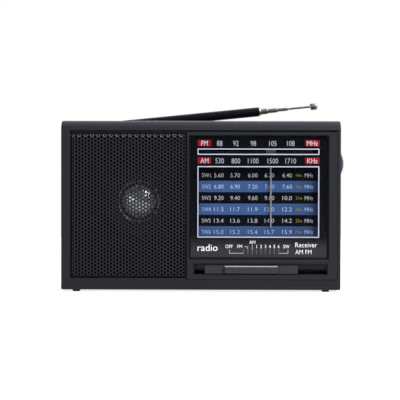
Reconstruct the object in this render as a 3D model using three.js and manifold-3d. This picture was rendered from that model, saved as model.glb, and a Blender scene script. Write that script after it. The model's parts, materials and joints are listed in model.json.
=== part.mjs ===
// A portable shortwave receiver: two plastic shells, a perforated speaker grille, a slide-rule dial
// driven by a cord from a thumbwheel, a band slider, and a telescopic antenna in the rear top edge.
// Millimetres. +X is right seen from the front, +Y points to the back, +Z is up.
// Pieces are drawn from the middle of the case's lower front edge; the exported group moves that
// point so that the origin is the bottom centre of the whole radio.
import * as THREE from "three";
import { mergeVertices } from "three/addons/utils/BufferGeometryUtils.js";
import Module from "manifold-3d";

const wasm = await Module();
wasm.setup();

// ---------------------------------------------------------------- driving dimensions
const GAP = 0.3; // between pieces that rest on or in each other

const CASE = { width: 200, depth: 64, height: 121, wall: 2.4, seam: 26, edge: 1.8, corner: 1.2, brow: 9 };
const HALF = CASE.width / 2;
const INNER_SIDE = HALF - CASE.wall;
const FRONT_WALL = 5.3; // depth of the front panel, recess included
const RECESS = 3.3; // depth of the recess that takes the grille and the bezel

const GRILLE_RECESS = { x: [-93.5, -10.4], z: [8.4, 114.2], chamfer: 1.8 };
const GRILLE = { x: [-92.3, -11.1], z: [9.2, 111.1], face: 0.4, back: 3, sheet: 0.8, corner: 1.6 };
const BEZEL = { x: [-10.4, 97.6], z: [7.5, 113.3], thick: 3, topGroove: 0.8 };
const LENS = { x: [-7.8, 90.8], z: [22.65, 110.3], front: 0.1, thick: 1.5, corner: 1.2 };
const WINDOW = { x: [-4.5, 87.5], z: [26, 107] };

const SLOT = { x: [-5.1, 90.7], z: [10.5, 18.5], floor: 2.8, back: 4.4, track: [10.9, 13.4] };
const SLIDER = { x: [2.9, 69.6], z: [10.9, 18.2], front: 1.3, back: 2.5 };
const GRIP = { x: [16.7, 55.7], z: [10.9, 17.4], proud: 1.0, slope: 1.1 };
const STEM = { x: (GRIP.x[0] + GRIP.x[1]) / 2, half: 1.5, z: [11.2, 13.1], back: 8.3 };
const BAND_TRAVEL = [-6.3, 18.9];

const SPEAKER = { x: -44.8, z: 63.1, hole: 31, flange: 33.5, front: 5.6, cap: 12.5 };
const MAGNET = { radius: 21, hole: 10.5, y: [24, 32.3] };
const WIRE_ROUTE = [[-20.4, 19.5, 66], [-13, 21, 65], [-5, 20.5, 62.5], [0.5, 20.6, 60.5], [3, 22, 60]];

const DIAL_PLATE = { x: [-4, 88], y: [6.4, 7.2], z: [36, 94.5] };
const CHASSIS = { x: [-4, 91.5], y: [7.5, 8.7], z: [26, 95], earTop: 102.5 };
const STANDOFFS = [[4, 50], [66, 50], [12, 90], [58, 90]];
const POINTER = { x: 50.1, half: 3.6, z: [44.2, 97.4], needle: 1.1 };
const RAIL = { x: [-2, 80], y: [5.9, 6.9], z: [97.9, 99.3] };

const CORD = { plane: 10.9, half: 0.4 };
const DRUM = { x: 40, z: 66, pitch: 17.8 };
const IDLER = { left: 2, right: 74, z: 95.4, pitch: 3.2 };
const SPINDLE = { x: 87, z: 90.4, pitch: 4 };

const TUNING_WHEEL = { radius: 16, y: [14, 22] };
const VOLUME_WHEEL = { x: 87.9, z: 58, radius: 12, y: [14, 18.5] };

const BOARD = { x: [0, 95.5], y: [23, 24.6], z: [42, 110] };
const CHIP = { x: 40, z: 62, size: [20, 6.5], tall: 3.5 };
const CANS = { x: 65, z: [74, 88], size: [10, 10], tall: 12 };
const CAPACITOR = { x: 16, z: 76, radius: 5, tall: 16.1 };
const ROD = { x: [4, 92], y: 34, z: 103, radius: 5 };
const COIL = { x: [58, 80], radius: 7 };
const HOLDERS = { left: 11, right: 87 };

const SWITCH = { x: [8, 86], y: [9.6, 15.5], z: [8.5, 17.5] };
const SWITCH_BOARD = { x: [4, 86], z: [5, 24], thick: 1.4 };
const LEVER = { y: [8.6, 12.6], half: 1.8, z: [11.4, 13.8] };
const JACKS = [
  { name: "earphone_jack", y: 38, z: 62, bore: 1.8, pin: 0 },
  { name: "dc_jack", y: 38, z: 46, bore: 2.7, pin: 0.8 },
];

const REBATE = { y: 53, z: 112.5 };
const BAY = { x: 64, y: [24.4, 61.3], z: [2.7, 38.4], wall: 2 };
const DOOR = { x: 65, y: [61.6, 63.9], z: [4, 40], hinge: { y: 62.75, z: 5.2 } };
const CONTACT = { y: [34, 52], z: [11, 30], sheet: 0.6 };
const SPRING = { turns: 3, wire: 0.5, reach: 6, wide: 6.5, narrow: 3.5 };

const PIVOT = { x: -86.4, y: 58.6, z: 116.7 }; // where the antenna's swing and tilt axes cross
const ANTENNA_RISE = THREE.MathUtils.degToRad(5.7);
const MOUTH = 130; // from the pivot to the open end of the outer tube
const ANTENNA = [
  { outer: 2.4, inner: 2.12, shows: 6.4 },
  { outer: 1.9, inner: 1.62, shows: 7.2 },
  { outer: 1.4, inner: 1.1, shows: 8.3 },
  { outer: 0.9, inner: 0, shows: 16.4 },
];
const SECTION_LENGTH = 112;
const COLLAR = { outer: 3.3, inner: 2.65, length: 0.9 };
const TIP = { radius: 2.8, length: 5.2 };
const FORK = { radius: 3.9, slot: 2.1, floor: -3.3, front: -5.3, back: 2.8 };
const STUD = { radius: 1.5, hole: 1.9, nutRadius: 2.8, nut: [46.4, 48.4], roof: 120.1 };

const FOOT = { x: 89.6, y: [10, 54], size: [5, 10], height: 1.5, pocket: 0.8 };
const SCREWS = [
  { x: -91, z: 10 },
  { x: 91, z: 10 },
  { x: -91, z: 105 },
  { x: -8, z: 105 },
];
const BOSS = { radius: 4.3, bore: 1.7, head: 3.4, headSeat: 60 };

// ---------------------------------------------------------------- materials
function material(color, roughness, metalness = 0) {
  return new THREE.MeshStandardMaterial({ color, roughness, metalness, flatShading: true });
}
const CASE_PLASTIC = material(0x2c2d31, 0.5);
const BEZEL_PLASTIC = material(0x303136, 0.45);
const SLIDER_PLASTIC = material(0x414247, 0.4);
const GRILLE_METAL = material(0x333438, 0.45, 0.7);
const LENS_ACRYLIC = material(0x121316, 0.08);
const DIAL_CARD = material(0x2a355c, 0.6);
const POINTER_PLASTIC = material(0xb9b4af, 0.5);
const CHROME = material(0xc8c8c8, 0.15, 1);
const STEEL = material(0x9a9a98, 0.4, 1);
const BRASS = material(0xb39148, 0.35, 1);
const ALUMINIUM = material(0xd6d6d6, 0.3, 1);
const FERRITE = material(0x2b2b2b, 0.7);
const PAPER = material(0x1c1b1a, 0.9);
const RUBBER = material(0x151515, 0.85);
const BOARD_RESIN = material(0x8a6a34, 0.7);
const PALE_PLASTIC = material(0xcfcabc, 0.5);
const BLACK_PLASTIC = material(0x17181a, 0.45);
const COPPER = material(0xa65a2e, 0.4, 1);
const CORD_THREAD = material(0xd8d2c0, 0.9);

// ---------------------------------------------------------------- outlines, as lists of points
const point = (u, v) => new THREE.Vector2(u, v);

function arc(u, v, radius, from, to, steps) {
  const at = (i) => THREE.MathUtils.degToRad(from + ((to - from) * i) / steps);
  return Array.from({ length: steps + 1 }, (_, i) =>
    point(u + radius * Math.cos(at(i)), v + radius * Math.sin(at(i))),
  );
}

function circle(u, v, radius, sides) {
  return arc(u, v, radius, 0, 360, sides).slice(0, sides);
}

// Corner radii run anticlockwise from the corner where both coordinates are lowest.
function rectangle([u0, u1], [v0, v1], radii = [0, 0, 0, 0], steps = 3) {
  const corners = [
    [u0, v0, 1, 1, 180],
    [u1, v0, -1, 1, 270],
    [u1, v1, -1, -1, 0],
    [u0, v1, 1, -1, 90],
  ];
  return corners.flatMap(([u, v, su, sv, start], i) => {
    const r = radii[i];
    if (r <= 0) return [point(u, v)];
    const turns = r > CASE.edge ? 2 * steps : steps;
    return arc(u + su * r, v + sv * r, r, start, start + 90, turns);
  });
}

// The line of a belt round the outside of several pulleys, which are listed anticlockwise.
function beltLine(pulleys, offset) {
  const ends = pulleys.map((a, i) => {
    const b = pulleys[(i + 1) % pulleys.length];
    const along = Math.atan2(b.v - a.v, b.u - a.u);
    const lean = Math.asin((a.r - b.r) / Math.hypot(b.u - a.u, b.v - a.v));
    return THREE.MathUtils.radToDeg(along - Math.PI / 2 + lean);
  });
  return pulleys.flatMap((p, i) => {
    const from = ends[(i + pulleys.length - 1) % pulleys.length];
    const to = from + ((((ends[i] - from) % 360) + 360) % 360);
    const steps = Math.max(2, Math.ceil((to - from) / 22));
    return arc(p.u, p.v, p.r + offset, from, to, steps);
  });
}

// ---------------------------------------------------------------- solids
function solid(geometry) {
  const bare = geometry.index ? geometry.toNonIndexed() : geometry.clone();
  bare.deleteAttribute("normal");
  bare.deleteAttribute("uv");
  const merged = mergeVertices(bare, 1e-4);
  const corners = Array.from(merged.index.array);
  const triVerts = [];
  for (let i = 0; i < corners.length; i += 3) {
    const [a, b, c] = corners.slice(i, i + 3);
    if (a !== b && b !== c && c !== a) triVerts.push(a, b, c);
  }
  return new wasm.Manifold(
    new wasm.Mesh({
      numProp: 3,
      vertProperties: new Float32Array(merged.attributes.position.array),
      triVerts: new Uint32Array(triVerts),
    }),
  );
}

function block([x0, x1], [y0, y1], [z0, z1]) {
  const box = new THREE.BoxGeometry(x1 - x0, y1 - y0, z1 - z0);
  return solid(box.translate((x0 + x1) / 2, (y0 + y1) / 2, (z0 + z1) / 2));
}

// Where an outline's u, v and its extrusion go, for a prism along each axis.
const PRISM_AXES = {
  x: { matrix: [0, 0, 1, 0, 1, 0, 0, 0, 0, 1, 0, 0, 0, 0, 0, 1], flipped: false },
  y: { matrix: [1, 0, 0, 0, 0, 0, -1, 0, 0, 1, 0, 0, 0, 0, 0, 1], flipped: true },
  z: { matrix: [1, 0, 0, 0, 0, 1, 0, 0, 0, 0, 1, 0, 0, 0, 0, 1], flipped: false },
};

// A prism of an outline: u, v are y, z along x; x, z along y; and x, y along z.
function prism(axis, outline, [from, to], holes = []) {
  const shape = new THREE.Shape(outline);
  shape.holes = holes.map((points) => new THREE.Path(points));
  const { matrix, flipped } = PRISM_AXES[axis];
  const start = flipped ? -to : from;
  const geometry = new THREE.ExtrudeGeometry(shape, { depth: to - from, bevelEnabled: false });
  geometry.translate(0, 0, start);
  return solid(geometry.applyMatrix4(new THREE.Matrix4().set(...matrix)));
}

function rod(axis, u, v, radius, span, sides = 20) {
  return prism(axis, circle(u, v, radius, sides), span);
}

function ring(axis, u, v, outer, inner, span, sides = 20) {
  return prism(axis, circle(u, v, outer, sides), span, [circle(u, v, inner, sides)]);
}

// A turned piece about a line along Y through x, z. Its profile is a list of [radius, y].
function turned(x, z, profile, segments = 24) {
  const points = profile.map(([r, y]) => point(r, y));
  if (THREE.ShapeUtils.area(points) < 0) points.reverse();
  if (profile[0][0] > 0) points.push(points[0].clone());
  return solid(new THREE.LatheGeometry(points, segments).translate(x, 0, z));
}

function tube(points, radius, sides, steps) {
  const path = new THREE.CatmullRomCurve3(points.map((p) => new THREE.Vector3(...p)));
  const section = new THREE.Shape(circle(0, 0, radius, sides));
  return solid(new THREE.ExtrudeGeometry(section, { steps, extrudePath: path, bevelEnabled: false }));
}

const joined = (bodies) => bodies.reduce((whole, body) => whole.add(body));
const without = (body, cuts) => cuts.reduce((left, cut) => left.subtract(cut), body);

const radio = new THREE.Group();
radio.name = "shortwave_receiver";

function piece(name, body, finish, group = radio) {
  const { vertProperties, triVerts } = body.getMesh();
  const geometry = new THREE.BufferGeometry();
  geometry.setAttribute("position", new THREE.BufferAttribute(vertProperties, 3));
  geometry.setIndex(new THREE.BufferAttribute(triVerts, 1));
  geometry.computeVertexNormals();
  const mesh = new THREE.Mesh(geometry, finish);
  mesh.name = name;
  group.add(mesh);
}

// ---------------------------------------------------------------- case shells
// The case's rounded block, made smaller all round by an inset.
function caseBody(inset) {
  const edge = CASE.edge - inset;
  const x = [-HALF + inset, HALF - inset];
  const y = [inset, CASE.depth - inset];
  const z = [inset, CASE.height - inset];
  const side = prism("x", rectangle(y, z, [edge, edge, edge, CASE.brow - inset]), x);
  const plan = prism("z", rectangle(x, y, [edge, edge, edge, edge]), z);
  const face = prism("y", rectangle(x, z, Array(4).fill(CASE.corner - inset)), y);
  return side.intersect(plan).intersect(face);
}

function footPockets(y) {
  const [width, length] = FOOT.size;
  return [-FOOT.x, FOOT.x].map((x) =>
    block(
      [x - width / 2 - GAP, x + width / 2 + GAP],
      [y - length / 2 - GAP, y + length / 2 + GAP],
      [-1, FOOT.pocket],
    ),
  );
}

// The space that the antenna lies in, along the rear top edge, grown by a margin.
function rebate(margin) {
  return block(
    [-HALF - 1, HALF + 1],
    [REBATE.y - margin, CASE.depth + 1],
    [REBATE.z - margin, CASE.height + 1],
  );
}

// The shallow hollow in the right side that bares the volume wheel's edge.
function volumeScoop() {
  const depth = 1.4;
  const radius = 31;
  const reach = THREE.MathUtils.radToDeg(Math.acos((radius - depth) / radius)) + 2;
  const { z, y } = VOLUME_WHEEL;
  const sweep = arc(HALF + radius - depth, z, radius, 180 - reach, 180 + reach, 8);
  return prism("y", sweep, [y[0] - 3, y[1] + 3]);
}

function wheelSlot({ z, radius, y }, x) {
  const half = Math.sqrt(radius ** 2 - (INNER_SIDE - x) ** 2) + 1.2;
  return block([INNER_SIDE - 1, HALF + 3], [y[0] - 0.6, y[1] + 0.6], [z - half, z + half]);
}

function frontShell() {
  const { x, z, chamfer } = GRILLE_RECESS;
  const open = [-1, RECESS];
  const cavity = caseBody(CASE.wall).intersect(
    block([-HALF, HALF], [FRONT_WALL, CASE.depth], [0, CASE.height]),
  );
  const bosses = SCREWS.map((s) => rod("y", s.x, s.z, BOSS.radius, [FRONT_WALL - 1, CASE.seam], 16));
  const ribs = SCREWS.filter((s) => s.z < CASE.height / 2).map((s) =>
    block([s.x - 2.5, s.x + 2.5], [FRONT_WALL, CASE.seam], [1, s.z]),
  );
  const leftEdge = [point(x[0] - chamfer, -0.5), point(x[0] + 0.1, -0.5), point(x[0] + 0.1, 1.2)];
  const shell = joined([
    caseBody(0)
      .intersect(block([-HALF, HALF], [0, CASE.seam], [0, CASE.height]))
      .subtract(cavity),
    ...bosses,
    ...ribs,
  ]);
  return without(shell, [
    block(x, open, z),
    block([BEZEL.x[0] - GAP, BEZEL.x[1] + GAP], open, [BEZEL.z[0] - GAP, BEZEL.z[1] + BEZEL.topGroove]),
    prism("z", leftEdge, z),
    rod("y", SPEAKER.x, SPEAKER.z, SPEAKER.hole, [2, FRONT_WALL + 1], 40),
    block([WINDOW.x[0] - 0.5, WINDOW.x[1] + 0.5], [2, FRONT_WALL + 1], [24, 108]),
    block([SLOT.x[0] - 2.9, SLOT.x[1] + 2.9], [2, FRONT_WALL + 1], [8.6, 20.4]),
    wheelSlot({ ...TUNING_WHEEL, z: SPINDLE.z }, SPINDLE.x),
    wheelSlot(VOLUME_WHEEL, VOLUME_WHEEL.x),
    volumeScoop(),
    ...SCREWS.map((s) => rod("y", s.x, s.z, BOSS.bore, [12, CASE.seam + 1], 12)),
    ...footPockets(FOOT.y[0]),
  ]);
}

function rearShell() {
  const start = CASE.seam + GAP;
  const { x, y, z, wall } = BAY;
  const bayBack = CASE.depth - 1.5;
  const cavity = caseBody(CASE.wall).subtract(rebate(CASE.wall));
  const shell = joined([
    caseBody(0)
      .intersect(block([-HALF, HALF], [start, CASE.depth], [0, CASE.height]))
      .subtract(cavity),
    block([-x - wall, x + wall], [y[0] - wall, bayBack], [z[0], z[1] + wall]),
    block([-x - wall, x + wall], [start, bayBack], [1, z[1] + wall]),
    ...SCREWS.map((s) => rod("y", s.x, s.z, BOSS.radius, [start, CASE.depth - 1], 16)),
  ]);
  const { hinge } = DOOR;
  return without(shell, [
    rebate(0),
    block([-x, x], [y[0], y[1] + 0.1], z),
    block([-DOOR.x - GAP, DOOR.x + GAP], [y[1], CASE.depth + 1], [DOOR.z[0] - GAP, DOOR.z[1] + GAP]),
    rod("x", hinge.y, hinge.z, 0.9, [-DOOR.x - 2, DOOR.x + 2], 12),
    rod("y", PIVOT.x, PIVOT.z, STUD.hole, [REBATE.y - CASE.wall - 1, REBATE.y + 1], 16),
    block([PIVOT.x - 5, PIVOT.x + 5], [STUD.nut[0] - 0.5, REBATE.y - CASE.wall], [REBATE.z, STUD.roof]),
    ...JACKS.map((j) => rod("x", j.y, j.z, 3.2, [-HALF - 1, -INNER_SIDE + 1], 16)),
    ...SCREWS.map((s) => rod("y", s.x, s.z, BOSS.head, [BOSS.headSeat, CASE.depth + 1], 16)),
    ...SCREWS.map((s) => rod("y", s.x, s.z, BOSS.bore, [start - 1, CASE.depth + 1], 12)),
    ...footPockets(FOOT.y[1]),
  ]);
}

// A hinged cover whose lower edge is round about its hinge line, with a pin at each end.
function batteryDoor() {
  const { x, y, z, hinge } = DOOR;
  const round = arc(hinge.y, hinge.z, (y[1] - y[0]) / 2, 180, 360, 6);
  const side = [...round, point(y[1], z[1]), point(y[0], z[1])];
  const fingerGroove = block([-9, 9], [y[1] - 0.8, y[1] + 1], [z[1] - 5.5, z[1] - 3.5]);
  return joined([
    prism("x", side, [-x, x]),
    rod("x", hinge.y, hinge.z, 0.6, [-x - 1.5, x + 1.5], 8),
  ]).subtract(fingerGroove);
}

function foot(x, y) {
  const [width, length] = FOOT.size;
  return prism(
    "z",
    rectangle([x - width / 2, x + width / 2], [y - length / 2, y + length / 2], [1.5, 1.5, 1.5, 1.5]),
    [-FOOT.height, FOOT.pocket - GAP],
  );
}

function caseScrew({ x, z }) {
  const head = BOSS.headSeat + GAP;
  const tall = 2.2;
  const slot = block([x - 4, x + 4], [head + 1.5, head + 3], [z - 0.5, z + 0.5]);
  const shank = [[0, 18], [1.3, 18], [1.3, head]];
  const cap = [[2.9, head], [2.9, head + tall], [0, head + tall]];
  return turned(x, z, [...shank, ...cap], 12).subtract(slot);
}

// ---------------------------------------------------------------- front panel
// A sheet-metal pan; its rim is bent back onto the front shell.
function speakerGrille() {
  const { x, z, face, back, sheet, corner } = GRILLE;
  const pan = prism("y", rectangle(x, z, [corner, corner, corner, corner]), [face, back]);
  const inside = block(
    [x[0] + sheet, x[1] - sheet],
    [face + sheet, back + 1],
    [z[0] + sheet, z[1] - sheet],
  );
  return pan.subtract(inside);
}

function dialBezel() {
  const front = block(BEZEL.x, [0, BEZEL.thick], BEZEL.z);
  const slotBox = block([SLOT.x[0] - 2, SLOT.x[1] + 2], [BEZEL.thick - 0.5, SLOT.back], [9, 20]);
  const lensSeat = prism(
    "y",
    rectangle(
      [LENS.x[0] - GAP, LENS.x[1] + GAP],
      [LENS.z[0] - GAP, LENS.z[1] + GAP],
      Array(4).fill(LENS.corner + GAP),
    ),
    [-1, LENS.front + LENS.thick + GAP],
  );
  return without(front.add(slotBox), [
    lensSeat,
    block(WINDOW.x, [-1, 5], WINDOW.z),
    block(SLOT.x, [-1, SLOT.floor], SLOT.z),
    block([SLOT.x[0] + 1.5, SLOT.x[1] - 1.5], [1, 6], SLOT.track),
  ]);
}

function dialLens() {
  const outline = rectangle(LENS.x, LENS.z, Array(4).fill(LENS.corner));
  return prism("y", outline, [LENS.front, LENS.front + LENS.thick]);
}

// The slider: a plate that hides the track, a grip with a sloped top, and a stem to the switch.
function bandSlider() {
  const { x, z, proud, slope } = GRIP;
  const side = [
    point(SLIDER.front + 0.2, z[0]),
    point(SLIDER.front + 0.2, z[1]),
    point(-proud + slope, z[1]),
    point(-proud, z[1] - slope),
    point(-proud, z[0] + 0.6),
    point(-proud + 0.6, z[0]),
  ];
  return joined([
    block(SLIDER.x, [SLIDER.front, SLIDER.back], SLIDER.z),
    prism("x", side, x),
    block([STEM.x - STEM.half, STEM.x + STEM.half], [SLIDER.back - 0.5, STEM.back], STEM.z),
  ]);
}

// ---------------------------------------------------------------- dial drive
// Each pulley's groove is half a cord and a gap under the cord's own line.
const pulleyY = {
  back: CORD.plane + 1.5,
  front: CORD.plane - 1.5,
  grooveBack: CORD.plane + 0.8,
  grooveFront: CORD.plane - 0.8,
};

function grooved(pitch) {
  const rim = pitch + 0.7;
  const floor = pitch - CORD.half - GAP;
  const { back, front, grooveBack, grooveFront } = pulleyY;
  return [
    [rim, front], [rim, grooveFront], [floor, grooveFront],
    [floor, grooveBack], [rim, grooveBack], [rim, back],
  ];
}

function idler(x) {
  const bore = 1.5;
  const profile = [[bore, pulleyY.front], ...grooved(IDLER.pitch), [bore, pulleyY.back]];
  return turned(x, IDLER.z, profile, 16);
}

function cordDrum() {
  const { front, back } = pulleyY;
  const shaft = [[5, back], [5, 13.6], [2.5, 13.6], [2.5, 18], [0, 18]];
  return turned(DRUM.x, DRUM.z, [[0, front], ...grooved(DRUM.pitch), ...shaft], 36);
}

function tuningSpindle() {
  const { front, back } = pulleyY;
  const pin = [[0, CHASSIS.y[0] + 0.1], [1.9, CHASSIS.y[0] + 0.1], [1.9, front]];
  const shaft = [[2.2, back], [2.2, TUNING_WHEEL.y[1] + 0.4], [0, TUNING_WHEEL.y[1] + 0.4]];
  return turned(SPINDLE.x, SPINDLE.z, [...pin, ...grooved(SPINDLE.pitch), ...shaft], 16);
}

function tuningWheel() {
  const { radius, y } = TUNING_WHEEL;
  const bore = 2.5;
  const ease = 0.8;
  const profile = [
    [bore, y[0]], [radius - ease, y[0]], [radius, y[0] + ease],
    [radius, y[1] - ease], [radius - ease, y[1]], [bore, y[1]],
  ];
  return turned(SPINDLE.x, SPINDLE.z, profile, 40);
}

function dialCord() {
  const belt = [
    { u: DRUM.x, v: DRUM.z, r: DRUM.pitch },
    { u: SPINDLE.x, v: SPINDLE.z, r: SPINDLE.pitch },
    { u: IDLER.right, v: IDLER.z, r: IDLER.pitch },
    { u: IDLER.left, v: IDLER.z, r: IDLER.pitch },
  ];
  const thick = [CORD.plane - CORD.half, CORD.plane + CORD.half];
  return prism("y", beltLine(belt, CORD.half), thick, [beltLine(belt, -CORD.half)]);
}

// The needle hangs from a clip that wraps the rail and reaches back over the cord.
function dialPointer() {
  const { x, half, z, needle } = POINTER;
  const wide = [x - half, x + half];
  return joined([
    block([x - needle / 2, x + needle / 2], [4.4, 5.0], z),
    block(wide, [4.4, RAIL.y[0] - GAP], [96.9, 100.4]),
    block(wide, [4.6, RAIL.y[1]], [96.9, RAIL.z[0] - GAP]),
    block(wide, [4.6, CORD.plane + 0.6], [RAIL.z[1] + GAP, 100.4]),
  ]);
}

function pointerRail() {
  const spacer = [RAIL.y[0], CHASSIS.y[0] - GAP];
  return joined([
    block(RAIL.x, RAIL.y, RAIL.z),
    block([RAIL.x[0], RAIL.x[0] + 4], spacer, RAIL.z),
    block([RAIL.x[1] - 4, RAIL.x[1]], spacer, RAIL.z),
  ]);
}

function dialChassis() {
  const { x, y, z, earTop } = CHASSIS;
  const post = (u, v, radius, back) => rod("y", u, v, radius, [y[0] + 0.5, back], 10);
  const plate = joined([
    block(x, y, z),
    block([x[0], 6.5], y, [z[1] - 1, earTop]),
    block([71.5, 80.5], y, [z[1] - 1, earTop]),
    ...STANDOFFS.map(([u, v]) => post(u, v, 2.5, BOARD.y[0] - GAP)),
    ...[IDLER.left, IDLER.right].map((u) => post(u, IDLER.z, 1.2, pulleyY.back + 0.2)),
  ]);
  return plate.subtract(rod("y", SPINDLE.x, SPINDLE.z, 2.3, [y[0] - 1, y[1] + 1], 16));
}

// ---------------------------------------------------------------- electronics
function tuningCapacitor() {
  const half = 10;
  const around = (middle) => [middle - half, middle + half];
  const body = block(around(DRUM.x), [14.6, BOARD.y[0] - GAP], around(DRUM.z));
  return body.subtract(rod("y", DRUM.x, DRUM.z, 2.8, [14, 18.4], 16));
}

function volumeWheel() {
  const { x, z, radius, y } = VOLUME_WHEEL;
  const ease = 0.6;
  const profile = [
    [0, y[0]], [radius - ease, y[0]], [radius, y[0] + ease], [radius, y[1] - ease],
    [radius - ease, y[1]], [1.7, y[1]], [1.7, y[1] + 2.6], [0, y[1] + 2.6],
  ];
  return turned(x, z, profile, 32);
}

function volumePot() {
  const { x, z, y } = VOLUME_WHEEL;
  const body = block([x - 7.6, x + 7.6], [y[1] + 0.5, BOARD.y[0] - GAP], [z - 8, z + 8]);
  return body.subtract(rod("y", x, z, 2.1, [y[1], y[1] + 3], 16));
}

function onBoardBack({ x, size: [width, height], tall }, z) {
  const start = BOARD.y[1] + GAP;
  return block([x - width / 2, x + width / 2], [start, start + tall], [z - height / 2, z + height / 2]);
}

function electrolyticCapacitor() {
  const { x, z, radius, tall } = CAPACITOR;
  const start = BOARD.y[1] + GAP;
  return rod("y", x, z, radius, [start, start + tall], 16);
}

function rodHolder(x) {
  const body = block([x - 1.5, x + 1.5], [BOARD.y[1] + GAP, ROD.y + 7.5], [ROD.z - 7.5, ROD.z + 6.5]);
  return body.subtract(rod("x", ROD.y, ROD.z, ROD.radius + GAP, [x - 2, x + 2], 20));
}

function bandSwitch() {
  const run = [STEM.x + BAND_TRAVEL[0] - LEVER.half - 0.5, STEM.x + BAND_TRAVEL[1] + LEVER.half + 0.5];
  const track = block(run, [SWITCH.y[0] - 1, LEVER.y[1] + 0.4], [LEVER.z[0] - 0.4, LEVER.z[1] + 0.4]);
  return block(SWITCH.x, SWITCH.y, SWITCH.z).subtract(track);
}

function switchBoard() {
  const start = SWITCH.y[1] + GAP;
  return block(SWITCH_BOARD.x, [start, start + SWITCH_BOARD.thick], SWITCH_BOARD.z);
}

// A panel socket on the left side: a block inside the wall and a barrel through it.
function jack({ y, z, bore, pin }) {
  const face = -HALF + 0.4;
  const back = -86;
  const hollow = rod("x", y, z, bore, [face - 1, back - 2], 12);
  const kept = pin > 0 ? hollow.subtract(rod("x", y, z, pin, [face - 2, back], 8)) : hollow;
  return joined([
    block([-INNER_SIDE + GAP, back], [y - 4.5, y + 4.5], [z - 4.5, z + 4.5]),
    rod("x", y, z, 2.9, [face, -INNER_SIDE + 1], 16),
  ]).subtract(kept);
}

function batterySpring() {
  const { y, z, sheet } = CONTACT;
  const wall = -BAY.x + GAP;
  const { turns, wire, reach, wide, narrow } = SPRING;
  const steps = 12 * turns;
  const middle = { y: (y[0] + y[1]) / 2, z: (z[0] + z[1]) / 2 };
  const points = Array.from({ length: steps + 1 }, (_, i) => {
    const t = i / steps;
    const angle = t * turns * 2 * Math.PI;
    const radius = wide + (narrow - wide) * t;
    const across = [middle.y + radius * Math.cos(angle), middle.z + radius * Math.sin(angle)];
    return [wall + sheet + reach * t, ...across];
  });
  return block([wall, wall + sheet], y, z).add(tube(points, wire, 6, steps));
}

function batteryPlate() {
  const { y, z, sheet } = CONTACT;
  const wall = BAY.x - GAP;
  const button = rod("x", (y[0] + y[1]) / 2, (z[0] + z[1]) / 2, 4, [wall - sheet - 0.7, wall - 0.1], 16);
  return block([wall - sheet, wall], y, z).add(button);
}

// ---------------------------------------------------------------- loudspeaker
function speakerBasket() {
  const { flange, front } = SPEAKER;
  const lip = 29.6;
  const profile = [
    [lip, front], [flange, front], [flange, front + 1.2], [31, front + 1.2], [19.6, 22.6], [19.6, 23.7],
    [9.2, 23.7], [9.2, 22.5], [18.4, 22.5], [lip, front + 1.6],
  ];
  return turned(SPEAKER.x, SPEAKER.z, profile, 28);
}

function speakerCone() {
  const thick = 0.7;
  const profile = [
    [28.9, 6.9], [8.1, 19.5], [8.1, 24], [7.4, 24], [7.4, 19.2], [28.9, 6.9 - thick],
  ];
  return turned(SPEAKER.x, SPEAKER.z, profile, 28);
}

function speakerDustCap() {
  const { cap } = SPEAKER;
  const [base, crown] = [15.4, 10.6];
  const rise = base - crown;
  const sphere = (cap ** 2 + rise ** 2) / (2 * rise);
  const reach = THREE.MathUtils.radToDeg(Math.asin(cap / sphere));
  const dome = arc(0, crown + sphere, sphere, -90, -90 + reach, 5).map((p) => [Math.max(0, p.x), p.y]);
  dome[0][0] = 0;
  return turned(SPEAKER.x, SPEAKER.z, [...dome, [cap - 0.6, base + 0.3], [0, base + 0.3]], 24);
}

function speakerYoke() {
  const profile = [[0, 20.5], [6.1, 20.5], [6.1, 32.6], [20, 32.6], [20, 35], [0, 35]];
  return turned(SPEAKER.x, SPEAKER.z, profile, 24);
}

// ---------------------------------------------------------------- antenna, drawn along X from its pivot
const antenna = new THREE.Group();
antenna.position.set(PIVOT.x, PIVOT.y, PIVOT.z);
antenna.rotation.y = -ANTENNA_RISE;
radio.add(antenna);

function antennaSwivel() {
  const nutSpan = STUD.nut.map((y) => y - PIVOT.y);
  const stud = rod("y", 0, 0, STUD.radius, [nutSpan[1] - 0.1, FORK.front + 1], 12);
  const nut = rod("y", 0, 0, STUD.nutRadius, nutSpan, 6);
  const slot = block([-5, 5], [FORK.floor, 5], [-FORK.slot, FORK.slot]);
  const head = rod("y", 0, 0, FORK.radius, [FORK.front, FORK.back], 24);
  return without(joined([head, stud, nut]), [slot, rod("z", 0, 0, 1.3, [-5, 5], 12)]);
}

function antennaTube() {
  const tongue = [point(9, -2.7), point(9, 2.7), ...arc(0, 0, 2.7, 90, 270, 8)];
  const bore = rod("x", 0, 0, 2.75, [12, MOUTH + 1], 16);
  return without(
    joined([prism("z", tongue, [-1.8, 1.8]), rod("x", 0, 0, 3.5, [6, MOUTH], 16)]),
    [bore, rod("z", 0, 0, 1.3, [-5, 5], 12)],
  );
}

function antennaCollar() {
  const start = MOUTH + GAP;
  return ring("x", 0, 0, COLLAR.outer, COLLAR.inner, [start, start + COLLAR.length], 16);
}

function antennaSections() {
  let end = MOUTH;
  ANTENNA.forEach(({ outer, inner, shows }, i) => {
    end += shows;
    const span = [end - SECTION_LENGTH, end];
    const body = inner > 0 ? ring("x", 0, 0, outer, inner, span, 16) : rod("x", 0, 0, outer, span, 16);
    piece(`antenna_section_${i + 1}`, body, CHROME, antenna);
  });
  const [tip0, tip1] = [end + GAP, end + GAP + TIP.length];
  const profile = [
    point(0, tip0), point(2.3, tip0), point(TIP.radius, tip0 + 0.5),
    point(TIP.radius, tip1 - 0.9), point(1.9, tip1), point(0, tip1),
  ];
  const cap = new THREE.LatheGeometry(profile, 16);
  piece("antenna_tip", solid(cap.rotateZ(-Math.PI / 2)), CHROME, antenna);
}

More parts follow.
